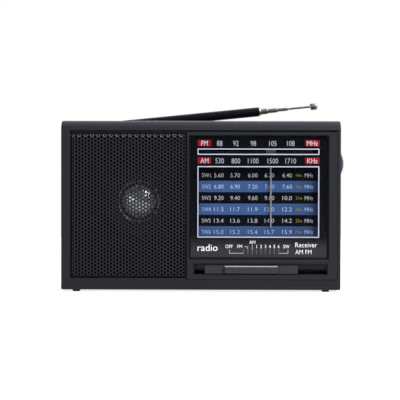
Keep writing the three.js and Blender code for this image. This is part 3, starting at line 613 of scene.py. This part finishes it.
def hole_centres(middle, z_range, pitch, columns=36):
    """The holes' places: columns side by side, every second one half a pitch lower."""
    low, top = z_range
    step = pitch * math.cos(math.radians(30))
    centres = []
    for i in range(columns):
        x = middle + (i - (columns - 1) / 2) * step
        z = top - (i % 2) * pitch / 2
        while z > low:
            centres.append((x, z))
            z -= pitch
    return centres


def field_outline(cell_edges):
    """The zigzag round all cells, from the edges that no neighbour runs the other way."""
    known = set(cell_edges)
    following = {a: b for a, b in cell_edges if (b, a) not in known}
    start = next(iter(following))
    zigzag = [start]
    while following[zigzag[-1]] != start:
        zigzag.append(following[zigzag[-1]])
    return zigzag


def ring_tube(cx, cz, radius, wire):
    """A small ring lying on the flat sheet, as points (u, v, depth) and faces."""
    around, across = 14, 6
    points, faces = [], []
    for i in range(around):
        a = 2 * math.pi * i / around
        for j in range(across):
            b = 2 * math.pi * j / across
            reach = radius + wire * math.cos(b)
            points.append((cx + reach * math.cos(a), cz + reach * math.sin(a), wire * 0.6 * math.sin(b)))
            here, there, side = i * across, (i + 1) % around * across, (j + 1) % across
            faces.append((here + j, there + j, there + side, here + side))
    return points, faces


def margin_faces(flat, faces, vertex, zigzag, inner_low, inner_high, reach, sheet):
    """Fills the plain margin between the punched field and the sheet's outline, and closes its cut edge."""
    def round_inner(r):
        return rounded((inner_low[0] - r, inner_high[0] + r), (inner_low[1] - r, inner_high[1] + r), r, 8)

    outline = round_inner(reach)
    inside = [flat[i][:2] for i in zigzag]
    points, edges = [], []
    for loop in (outline, round_inner(reach * 0.66), inside):
        first = len(points)
        points += [Vector(p) for p in loop]
        edges += [(first + i, first + (i + 1) % len(loop)) for i in range(len(loop))]
    made, _, triangles, *_ = delaunay_2d_cdt(points, edges, [], 1, 1e-5)
    field = np.array(inside)
    front = [vertex(p.x, p.y, 0.0) for p in made]
    back = [vertex(p.x, p.y, sheet) for p in made]
    for triangle in triangles:
        centre = sum((made[i] for i in triangle), Vector((0, 0))) / 3
        if within(centre, field):
            continue
        faces.append(tuple(front[i] for i in triangle))
        faces.append(tuple(back[i] for i in reversed(triangle)))
    rim = [(vertex(u, v, 0.0), vertex(u, v, sheet)) for u, v in outline]
    for (a_front, a_back), (b_front, b_back) in zip(rim, [*rim[1:], rim[0]]):
        faces.append((a_front, b_front, b_back, a_back))


def within(point, polygon):
    """Whether a point lies inside a polygon, by counting the edges to its right."""
    x, y = point
    a, b = polygon, np.roll(polygon, -1, axis=0)
    crosses = (a[:, 1] > y) != (b[:, 1] > y)
    rise = np.where(crosses, b[:, 1] - a[:, 1], 1)
    at = a[:, 0] + (y - a[:, 1]) / rise * (b[:, 0] - a[:, 0])
    return bool(np.sum(crosses & (at > x)) % 2)


def bend_sheet(flat, inner_low, inner_high, bend, face):
    """Carries flat points (u, v, depth) onto the pan: beyond the inner rectangle the sheet turns back."""
    plan = flat[:, :2]
    held = np.clip(plan, inner_low, inner_high)
    out = plan - held
    distance = np.linalg.norm(out, axis=1)
    direction = out / np.maximum(distance, 1e-9)[:, None]
    angle = np.minimum(distance / bend, math.pi / 2)
    straight = np.maximum(distance - bend * math.pi / 2, 0)
    radius = bend - flat[:, 2]
    plan = held + direction * (radius * np.sin(angle))[:, None]
    depth = face + bend - radius * np.cos(angle) + straight
    return np.column_stack([plan[:, 0], depth, plan[:, 1]])


# ---- loudspeaker
def speaker_cloth():
    """Thin black felt over the recess behind the grille, open in front of the cone."""
    low, high = GRILLE
    x, z, y = (low.x + 0.1, high.x + 0.6), (low.z + 0.1, high.z - 0.1), (RECESS - 0.27, RECESS - 0.03)
    felt = plate(x, z, y, 1.0)
    combined(felt, [rod(24.5, (1, 5), SPEAKER_CENTRE, 72)])
    finished(felt, "grille_felt", "felt", "case", sharp=30)


def speaker_parts():
    """The dust cap as a part of a sphere, the bright collar round it, and the paper cone."""
    cap = span("speaker_dust_cap")
    radius = (cap[1].x - cap[0].x) / 2
    crown, base = cap[0].y, cap[1].y
    rise = base - crown
    sphere = (radius ** 2 + rise ** 2) / (2 * rise)
    reach = math.degrees(math.asin(radius / sphere))
    dome = [(max(r, 0.0), y) for r, y in arc(0, crown + sphere, sphere, -90, -90 + reach, 14)]
    dome[0] = (0, crown)
    profile = [*dome, (radius - 0.4, base), (0, base - 0.05)]
    dome = lathe(profile, SPEAKER_CENTRE, 72)
    finished(dome, "dust_cap_dome", "aluminium", "case", ["speaker_dust_cap"])
    section = [(1.5, 13.1), (1.7, 12.1), (2.3, 11.8), (2.7, 12.1), (2.3, 12.9)]
    collar = lathe([(radius + out, y) for out, y in section], SPEAKER_CENTRE, 72)
    finished(collar, "cone_collar", "pale_metal_and_painted_glint", "case")
    surround = arc(26.3, 7.2, 2.0, 0, -180, 10)
    rippled = [(r, 7.4 + (24.3 - r) * 0.52 + 0.12 * math.sin(r * 2.4)) for r in np.linspace(24.0, 15.2, 16)]
    back = [(8.0, 19.2), (8.0, 24), (7.4, 24), (7.4, 20.2), (24.2, 8.4), (28.8, 8.0)]
    cone = lathe([(28.8, 7.3), *surround, *rippled, *back], SPEAKER_CENTRE, 72)
    finished(cone, "paper_cone", "paper", "case", ["speaker_cone"])


# ---- dial front
SEAT_X = (LENS[0].x - 0.95, LENS[1].x + 0.9)  # the recess for the lens
SEAT_Z = (LENS[0].z - 0.9, LENS[1].z + 0.3)


def bezel():
    """The plate round the lens, with the slot that the band slider runs in."""
    slot_x, slot_z = (-5.1, 90.7), (10.95, 19.05)
    floor_x = (slot_x[0] + 0.6, slot_x[1] - 0.6)
    lens_foot = SEAT_Z[0]
    body = plate((BEZEL[0].x + 0.5, BEZEL[1].x), (BEZEL[0].z, BEZEL[1].z - 0.35), (0.0, 3.0), 0.3)
    combined(body, [box((slot_x[0] - 2, slot_x[1] + 2), (2.5, 4.4), (9, 20))], "UNION")
    under_lens = [(-0.5, lens_foot - 1), (-0.5, lens_foot + 0.1), (0.6, lens_foot + 0.1)]
    slope = [(2.7, 15.3), (4.6, 13.3), (4.6, 12.6), (2.7, 12.6)]
    cuts = [
        plate(SEAT_X, SEAT_Z, (-1, LENS[1].y + 0.3), 1.5),
        box((-4.5, 87.5), (-1, 5), (26, 107)),  # window for the dial
        plate(slot_x, slot_z, (-1, 2.8), 0.8),
        box(floor_x, (1, 6), (11.35, 13.4)),  # track for the slider's stem
        loft([[(x, y, z) for y, z in under_lens] for x in SEAT_X]),  # eases the edge below the lens
        loft([[(x, y, z) for y, z in slope] for x in floor_x]),
    ]
    combined(body, cuts)
    flattened(body)
    return finished(body, "bezel_plate", "bezel_plastic", "case", ["dial_bezel"], 0.35)


def slider():
    """The band slider: a plate in its slot, a ribbed grip with a painted highlight along its top edge, and a
    black strip above it as a painted shadow.
    """
    low, high = SLIDER
    grip_x, grip_z = (16.7, 55.7), (11.65, 17.4)
    face = low.y
    body = plate((low.x, high.x), (11.45, 17.85), (1.3, 2.5), 0.5, 0.3)
    profile = [
        (1.8, grip_z[0]), (1.8, grip_z[1] + 0.2), *arc(face + 1.3, grip_z[1] - 1.25, 1.3, 80, 170, 6),
        *arc(face + 0.7, grip_z[0] + 0.8, 0.7, 180, 250, 4),
    ]
    ends = [(0, 1.1), (0.4, 0.4), (0.8, 0.0)]
    rib_x = np.arange(grip_x[0] + 1.1, grip_x[1] - 1.0, 0.62)
    ribs = [(x, 0.0 if i % 2 else 0.13) for i, x in enumerate(rib_x)]
    stations = [(grip_x[0] + a, b) for a, b in ends] + ribs + [(grip_x[1] - a, b) for a, b in reversed(ends)]
    rings = []
    for x, inset in stations:
        rings.append([
            (x, max(y, face + inset) if y < 1 else y, min(max(z, grip_z[0] + inset), grip_z[1] + 0.2 - inset))
            for y, z in profile
        ])
    combined(body, [loft(rings)], "UNION")
    combined(body, [box((grip_x[0] + 0.2, grip_x[1] - 0.2), (-1, 3), (10.5, grip_z[0]))])
    stem = (grip_x[0] + grip_x[1]) / 2
    combined(body, [box((stem - 1.5, stem + 1.5), (2, high.y), (11.65, 13.1))], "UNION")
    finished(body, "band_grip", "slider_plastic", "band", ["band_slider"], sharp=40)
    # A pale strip along the grip's top edge, whose colour is a painted highlight.
    highlight_z = (grip_z[1] - 0.95, grip_z[1] - 0.1)
    rings = []
    for i, x in enumerate(np.arange(grip_x[0] + 0.6, grip_x[1] - 0.5, 0.5)):
        proud = 0.05 if i % 2 else 0.0
        rings.append([(x, face + 0.02 + proud, highlight_z[0]), (x, face + 0.35 + proud, highlight_z[1]),
                      (x, face + 1.3, highlight_z[1] - 0.3), (x, face + 0.6, highlight_z[0])])
    finished(loft(rings), "grip_painted_highlight", "grip_painted_highlight", "band", sharp=20)
    # A black strip above the slider: painted shadow in the gap under the slot's upper edge.
    strip = box((low.x + 0.1, high.x - 0.1), (1.6, 2.5), (17.86, 18.9))
    return finished(strip, "slider_painted_shadow", "black_print_and_painted_shadow", "band", sharp=40)


def pane():
    x, z = (LENS[0].x, LENS[1].x), (LENS[0].z, LENS[1].z)
    body = plate(x, z, (LENS[0].y, LENS[1].y), 1.2, 0.2)
    return finished(body, "lens_window", "lens_acrylic", "case", ["dial_lens"], sharp=30)


PRINT_Y = LENS[1].y + 0.02  # the print lies on the lens's back
WINDOWS = {"upper": ((-2.4, 84.6), (96.6, 101.1)), "main": ((-2.4, 84.6), (37.4, 88.5))}
LINE = 0.72


def lens_gasket():
    """A black ring round the lens and behind its rim: painted shade that darkens the gap round the lens."""
    def grown(x, z, by, y, corner):
        return plate((x[0] - by, x[1] + by), (z[0] - by, z[1] + by), y, corner)

    lens_x, lens_z, back = (LENS[0].x, LENS[1].x), (LENS[0].z, LENS[1].z), LENS[1].y
    around = grown(SEAT_X, SEAT_Z, -0.05, (0.55, back + 0.26), 1.4)
    cuts = [grown(lens_x, lens_z, 0.05, (-1, back + 0.02), 1.2), grown(lens_x, lens_z, -0.5, (1, 3), 1.0)]
    return finished(combined(around, cuts), "lens_gasket", "black_plastic", "case", sharp=30)


def masks():
    """The lens's printed mask: black with two clear windows, and a grey band under them."""
    y = (PRINT_Y + 0.06, PRINT_Y + 0.12)
    inset = 0.6
    x = (LENS[0].x + inset, LENS[1].x - inset)
    body = plate(x, (36.6, LENS[1].z - inset), y, 1.0)
    holes = []
    for wx, wz in WINDOWS.values():
        holes.append(box((wx[0] + LINE, wx[1] - LINE), (y[0] - 1, y[1] + 1), (wz[0] + LINE, wz[1] - LINE)))
    combined(body, holes)
    finished(body, "lens_mask", "black_print_and_painted_shadow", "case")
    band = plate(x, (LENS[0].z + inset, 36.6), y, 1.0)
    finished(band, "lens_band", "mask_grey", "case")


def frame_line(x, z, width, y):
    """A thin printed line round a window."""
    inner = rounded((x[0] + width, x[1] - width), (z[0] + width, z[1] - width), 0.15, 3)
    return hoop(rounded(x, z, 0.25, 3), inner, y)


def merged(objects):
    """One object that holds the meshes of several."""
    work = bmesh.new()
    for obj in objects:
        work.from_mesh(obj.data)
        bpy.data.objects.remove(obj)
    mesh = bpy.data.meshes.new("merged")
    work.to_mesh(mesh)
    work.free()
    return placed("merged", mesh)


def printed(objects, name, material):
    """The objects as one piece of print on the case's own body."""
    return finished(merged(objects), name, material, "case", sharp=30)


CAPITAL = 0.73  # how tall the font's capitals are at size 1


def word(text, x, z, height, y, width=None, squeeze=0.8, weight=-0.006):
    """Text as thin solid letters, centred on x and z, its capitals height tall."""
    curve = bpy.data.curves.new("word", "FONT")
    curve.body = text
    curve.resolution_u = 3
    curve.offset = weight
    curve.extrude = 0.01
    obj = placed("word", curve)
    graph = bpy.context.evaluated_depsgraph_get()
    mesh = bpy.data.meshes.new_from_object(obj.evaluated_get(graph), depsgraph=graph)
    bpy.data.objects.remove(obj)
    points = np.array([v.co for v in mesh.vertices])
    low, high = points.min(0), points.max(0)
    tall = height / CAPITAL
    wide = width / (high[0] - low[0]) if width else tall * squeeze
    scale = Matrix.Diagonal((wide, 1, tall, 1))
    stand = Matrix(((1, 0, 0, 0), (0, 0, -1, 0), (0, 1, 0, 0), (0, 0, 0, 1)))
    centre = Matrix.Translation((-(low[0] + high[0]) / 2, -CAPITAL / 2, 0))
    mesh.transform(Matrix.Translation((x, y, z)) @ scale @ stand @ centre)
    return placed("word", mesh)


NUMBER_X = (13.4, 25.0, 37.4, 51.4, 64.2)
SHORTWAVE_X = (12.9, 24.6, 37.2, 49.2, 61.9)
SHORTWAVE = [
    ("SW1", "5.60 5.70 6.00 6.20 6.40", "49m"),
    ("SW2", "6.80 6.90 7.20 7.40 7.60", "41m"),
    ("SW3", "9.20 9.40 9.60 9.80 10.0", "31m"),
    ("SW4", "11.5 11.7 11.9 12.0 12.2", "25m"),
    ("SW5", "13.4 13.6 13.8 14.0 14.2", "22m"),
    ("SW6", "15.0 15.2 15.4 15.7 15.9", "19m"),
]
ROW_TOP, ROW_PITCH = 82.1, 8.15
BOXES = [((-2.2, 7.4), (102.8, 107.2), "FM"), ((74.4, 84.8), (102.8, 107.2), "MHz"),
         ((-2.2, 7.4), (90.2, 94.8), "AM"), ((74.4, 84.8), (90.2, 94.8), "KHz")]


def lens_print():
    y = PRINT_Y
    thick = (y + 0.02, y + 0.05)
    outlines = [frame_line(wx, wz, LINE, thick) for wx, wz in WINDOWS.values()]
    printed(outlines, "lens_outlines", "ink_outline")
    figures = []
    for row, z in (("88 92 98 105 108", 104.9), ("530 800 1100 1500 1710", 92.4)):
        figures += [word(t, x, z, 3.9, y + 0.03, weight=-0.008) for t, x in zip(row.split(), NUMBER_X)]
    for x, z, text in BOXES:
        figures.append(word(text, sum(x) / 2, sum(z) / 2, 3.6, y + 0.012, squeeze=0.86, weight=0.01))
    printed(figures, "lens_figures", "ink_figures")
    white = band_scale(y + 0.03, thick)
    white.append(word("radio", 4.9, 30.4, 5.0, y + 0.03, width=14.4, weight=0.0))
    white.append(word("Receiver", 75.4, 32.4, 3.6, y + 0.03, width=15.6, weight=-0.004))
    white.append(word("AM FM", 73.4, 27.3, 3.4, y + 0.03, width=11.6, weight=-0.008))
    printed(white, "lens_lettering", "ink_white")
    printed([plate(x, z, thick, 0.5) for x, z, _ in BOXES], "lens_labels", "ink_red")


def band_scale(y, thick):
    """The band slider's scale: OFF, FM, AM and six shortwave bands, with the lines to their marks."""
    first, pitch, tick = 30.6, 3.14, (25.7, 29.0)
    ticks = [box((x - 0.3, x + 0.3), thick, tick) for x in (first + pitch * i for i in range(9))]
    printed(ticks, "scale_ticks", "ink_tick")
    level = 31.2
    marks = []
    for i in range(1, 7):
        marks.append(word(str(i), first + pitch * (i + 2), level, 2.4, y, squeeze=0.85, weight=0.008))
    for text, x, z in (("OFF", 20.3, level), ("FM", 27.9, level), ("AM", 36.9, 34.2), ("SW", 61.2, level)):
        marks.append(word(text, x, z, 2.5, y, squeeze=0.9, weight=0.0))
    lines = [((20.4, 30.4), (26.0, 26.5)), ((20.4, 20.9), (26.5, 28.8)), ((56.0, 62.6), (26.0, 26.5)),
             ((62.1, 62.6), (26.5, 28.8)), ((31.2, 33.8), (30.7, 31.2)), ((33.3, 33.8), (29.2, 30.7)),
             ((36.6, 37.1), (28.6, 32.4))]
    printed([box(x, thick, z) for x, z in lines], "scale_lines", "ink_line")
    return marks


def dial_blinds():
    """Black strips in front of and behind the drive cord: painted shade that darkens the view through the
    upper window.
    """
    places = [((96.6, 99.4), (8.9, 9.2)), ((100.6, 103.6), (8.9, 9.2)), ((94.8, 103.6), (12.9, 13.3))]
    strips = [plate((-3.5, 86.5), z, y, 0.4) for z, y in places]
    strips.append(plate((80.8, 86.5), (98.8, 101.2), (8.4, 8.7), 0.4))
    return printed(strips, "dial_blinds", "dial_card")


def dial_print():
    """The dial card with its blue bands and shortwave figures."""
    card = span("dial_plate")
    face = card[0].y
    body = plate((card[0].x, card[1].x), (card[0].z, card[1].z), (face, card[1].y), 0.8)
    finished(body, "dial_card", "dial_card", "case", ["dial_plate"], 0.1)
    band_x, band_y = (card[0].x + 0.5, card[1].x - 0.5), (face - 0.05, face - 0.01)
    middles = [ROW_TOP - ROW_PITCH * row for row in (1, 3, 5)]
    bands = [plate(band_x, (z - ROW_PITCH / 2, z + ROW_PITCH / 2), band_y, 0.1) for z in middles]
    printed(bands, "dial_bands", "blue_band")
    white, blue, yellow = [], [], []
    y = face - 0.07
    for row, (label, numbers, metres) in enumerate(SHORTWAVE):
        z = ROW_TOP - ROW_PITCH * row
        target = blue if row % 2 else white
        target.append(word(label, 3.9, z, 3.1, y, 6.4))
        target += [word(t, x, z, 3.1, y, 6.8) for t, x in zip(numbers.split(), SHORTWAVE_X)]
        target.append(word("MHz", 77.5, z, 3.1, y, 6.0))
        yellow.append(word(metres, 70.3, z, 2.5, y, 4.6))
    printed(white, "dial_figures", "ink_dial")
    printed(blue, "dial_figures_on_blue", "ink_pale_blue")
    printed(yellow, "dial_metres", "ink_yellow")


def pointer():
    low, high = span("dial_pointer")
    x = (low.x + high.x) / 2
    top = 96.88
    needle = lathe([(0, low.z), (0.55, low.z + 0.4), (0.55, top), (0, top)], (x, 4.95, 0), 20, "z")
    carrier = plate((low.x, high.x), (96.9, 100.4), (4.4, 5.6), 0.5, 0.3)
    hook = box((low.x, high.x), (4.7, high.y), (99.6, 100.4))
    lip = box((low.x, high.x), (4.7, 6.9), (96.9, 97.6))
    finished(needle, "pointer_needle", "pointer_plastic", "pointer", ["dial_pointer"], sharp=40)
    body = combined(carrier, [hook, lip], "UNION")
    return finished(body, "pointer_carrier", "carrier_plastic", "pointer", sharp=40)


# ---- thumbwheels
def knurled(node, name, body, ridges, width, depth=0.5):
    """A thumbwheel whose rim carries rounded ridges across its width."""
    low, high = span(node)
    radius = (high.x - low.x) / 2
    centre = ((low.x + high.x) / 2, (low.z + high.z) / 2)
    points = ridges * 6

    def ring(reach, y, tooth):
        made = []
        for i in range(points):
            a = 2 * math.pi * i / points
            r = reach - tooth * (0.5 + 0.5 * math.cos(ridges * a)) ** 2
            made.append((centre[0] + r * math.cos(a), y, centre[1] + r * math.sin(a)))
        return made

    y0, y1 = low.y, low.y + width
    rings = [ring(*station) for station in (
        (2.6, y0, 0), (5.0, y0, 0), (5.4, y0 + 0.6, 0), (radius - 3.2, y0 + 0.6, 0), (radius - 2.8, y0, 0),
        (radius - 0.8, y0, depth * 0.5), (radius - 0.2, y0 + 0.35, depth), (radius, y0 + 0.8, depth),
        (radius, y1 - 0.8, depth), (radius - 0.2, y1 - 0.35, depth), (radius - 0.8, y1, depth * 0.5),
        (2.6, y1, 0),
    )]
    return finished(loft(rings, closed=True), name, "wheel_plastic", body, [node], sharp=45)


# ---- antenna
TUBE = span("antenna_tube")
PIVOT = Vector((SWIVEL.x, (TUBE[0].y + TUBE[1].y) / 2, SWIVEL.z))
ALONG = Matrix.Translation(PIVOT) @ Matrix.Rotation(-math.radians(5.7), 4, "Y")
ORIGIN = (0, 0, 0)
MOUTH = 130.0  # from the pivot to the outer tube's open end
# Each section's outer and inner radius, and how much of it shows past the one before.
SECTIONS = [(2.4, 2.12, 6.4), (1.9, 1.62, 7.2), (1.4, 1.1, 8.3), (0.9, 0.0, 16.4)]
SECTION_LENGTH = 112.0


def along_antenna(obj, name, material, body, node):
    """Carries a piece drawn along X from the pivot onto the antenna's sloping line."""
    obj.data.transform(ALONG)
    return finished(obj, name, material, body, [node], sharp=35)


def chromed(profile, name, body, node):
    return along_antenna(lathe(profile, ORIGIN, 40, "x"), name, "chrome", body, node)


def antenna():
    wall = [(2.75, 12), (3.2, 6.2), (3.5, 6.6), (3.5, MOUTH - 0.5), (3.3, MOUTH), (2.75, MOUTH)]
    tube = lathe(wall, ORIGIN, 48, "x")
    tongue_outline = [(9, -2.7), (9, 2.7), *arc(0, 0, 2.7, 90, 270, 14)]
    tongue = loft([[(u, v, level) for u, v in tongue_outline] for level in (-1.8, 1.8)])
    combined(tube, [rod(3.0, (6.2, 12), ORIGIN, 32, "x"), tongue], "UNION")
    combined(tube, [rod(1.3, (-5, 5), ORIGIN, 24, "z")])
    along_antenna(tube, "antenna_outer_tube", "antenna_black", "mast", "antenna_tube")
    ring = [(2.65, 0.3), (3.1, 0.3), (3.3, 0.6), (3.1, 1.2), (2.65, 1.2)]
    chromed([(r, MOUTH + out) for r, out in ring], "antenna_mouth_ring", "mast", "antenna_collar")
    end = MOUTH
    for i, (outer, inner, shows) in enumerate(SECTIONS, 1):
        end += shows
        start = end - SECTION_LENGTH
        rounding = [(outer, end - 0.5), (outer - 0.12, end - 0.1)] if inner else [(outer, end)]
        profile = [(inner, start), (outer, start), *rounding, (inner, end)]
        chromed(profile, f"antenna_tube_{i}", f"mast_{i}", f"antenna_section_{i}")
    tip = [(0, 0.3), (1.9, 0.3), (2.5, 0.6), (2.8, 1.2), (2.8, 4.2), (2.5, 5.0), (1.9, 5.5), (0, 5.5)]
    chromed([(r, end + out) for r, out in tip], "antenna_cap", "mast_4", "antenna_tip")


# ---- carried-over CAD nodes
DARK_PIECES = {"dial_chassis": "blackened_steel"}


def dress_cad_nodes():
    """Each CAD node that stays gets the finish of its material slot."""
    slots = {s["node"]: s["material_slot"] for s in frame["record"]["subparts"]}
    slots.update(DARK_PIECES)
    for node, obj in frame["nodes"].items():
        obj.data.materials.clear()
        obj.data.materials.append(MATERIALS[slots[node]])


# ---- studio
def camera():
    """Nearly square on to the front, from a little above and to the right."""
    focus, distance = Vector((-0.55, 0, 64.3)), 1100.0
    azimuth, elevation, roll = map(math.radians, (0.7, 1.0, 0.105))
    level = math.cos(elevation)
    back = Vector((math.sin(azimuth) * level, -math.cos(azimuth) * level, math.sin(elevation)))
    data = bpy.data.cameras.new("camera")
    data.sensor_width = 36
    data.lens = 138.7
    data.clip_start, data.clip_end = 0.05, 60
    obj = placed("camera", data)
    obj.location = TO_FRAME @ (focus + back * distance)
    turn = (-back).to_track_quat("-Z", "Y") @ Quaternion((0, 0, 1), roll)
    obj.rotation_euler = turn.to_euler()
    bpy.context.scene.camera = obj


def lamp(name, place, aim, size, power, tint=(1, 1, 1)):
    data = bpy.data.lights.new(name, "AREA")
    data.shape = "RECTANGLE"
    data.size, data.size_y = size
    data.energy = power
    data.color = tint
    obj = placed(name, data)
    obj.location = place
    obj.rotation_euler = (Vector(aim) - Vector(place)).to_track_quat("-Z", "Y").to_euler()


def studio():
    """Four soft lamps over a dim room, with plain white behind, and the pale floor."""
    scene = bpy.context.scene
    scene.view_settings.view_transform = "Standard"
    world = bpy.data.worlds.new("studio")
    world.use_nodes = True
    scene.world = world
    tree = world.node_tree
    seen = tree.nodes["Background"]
    seen.inputs["Color"].default_value = (1, 1, 1, 1)
    seen.inputs["Strength"].default_value = 1.0
    room = tree.nodes.new("ShaderNodeBackground")
    room.inputs["Color"].default_value = (0.93, 0.96, 1, 1)
    room.inputs["Strength"].default_value = 0.1
    path = tree.nodes.new("ShaderNodeLightPath")
    mix = tree.nodes.new("ShaderNodeMixShader")
    tree.links.new(path.outputs["Is Camera Ray"], mix.inputs[0])
    tree.links.new(room.outputs[0], mix.inputs[1])
    tree.links.new(seen.outputs[0], mix.inputs[2])
    tree.links.new(mix.outputs[0], tree.nodes["World Output"].inputs["Surface"])
    lamp("sky", (0.5, 0.62, 1.3), (0.1, 0.2, 0.0), (3.2, 2.2), 61, (0.95, 0.97, 1))
    lamp("left", (-0.95, -1.1, 0.28), (0, 0, 0.06), (0.5, 0.5), 5.5)
    lamp("right", (0.66, -0.62, 0.8), (0, 0, 0.06), (0.5, 0.5), 21)
    lamp("back", (0.2, 1.9, 0.7), (0, 0, 0.06), (1.2, 0.8), 14)
    pale_floor()


def pale_floor():
    """A pale round floor, in metres, that also glows a little so that it stays nearly white."""
    corners, radius = 96, 0.9
    angles = np.linspace(0, 2 * math.pi, corners, endpoint=False)
    outline = [(radius * math.cos(a), radius * math.sin(a), CAD_BOX[0].z) for a in angles]
    mesh = bpy.data.meshes.new("floor")
    mesh.from_pydata(outline, [], [tuple(range(corners))])
    nodes = Nodes("floor_paper")
    nodes.shader.inputs["Base Color"].default_value = (0.3, 0.3, 0.3, 1)
    nodes.shader.inputs["Roughness"].default_value = 0.9
    nodes.shader.inputs["Specular IOR Level"].default_value = 0.1
    nodes.shader.inputs["Emission Color"].default_value = (1, 1, 1, 1)
    nodes.shader.inputs["Emission Strength"].default_value = 0.8
    mesh.materials.append(nodes.material)
    return placed("floor", mesh)


# ---- everything
dress_cad_nodes()
camera()
studio()
front_shell()
rear_shell()
seam_gasket()
copied("battery_door", "battery_cover", "case_plastic", "door", 0.25)
for corner in ("front_left", "front_right", "rear_left", "rear_right"):
    copied(f"foot_{corner}", f"rubber_foot_{corner}", "rubber", "case", 0.25)
for number in range(1, 5):
    copied(f"case_screw_{number}", f"rear_screw_{number}", "steel", "case", 0.12)
perforated_grille()
speaker_cloth()
speaker_parts()
copied("pointer_rail", "rail_bar", "blackened_steel", "case", 0.1)
bezel()
slider()
pane()
lens_gasket()
masks()
lens_print()
dial_print()
dial_blinds()
pointer()
tuning_low, tuning_high = span("tuning_wheel")
knurled("tuning_wheel", "tuning_thumbwheel", "tuning", 60, tuning_high.y - tuning_low.y)
knurled("volume_wheel", "volume_thumbwheel", "volume", 40, 4.5)
antenna()
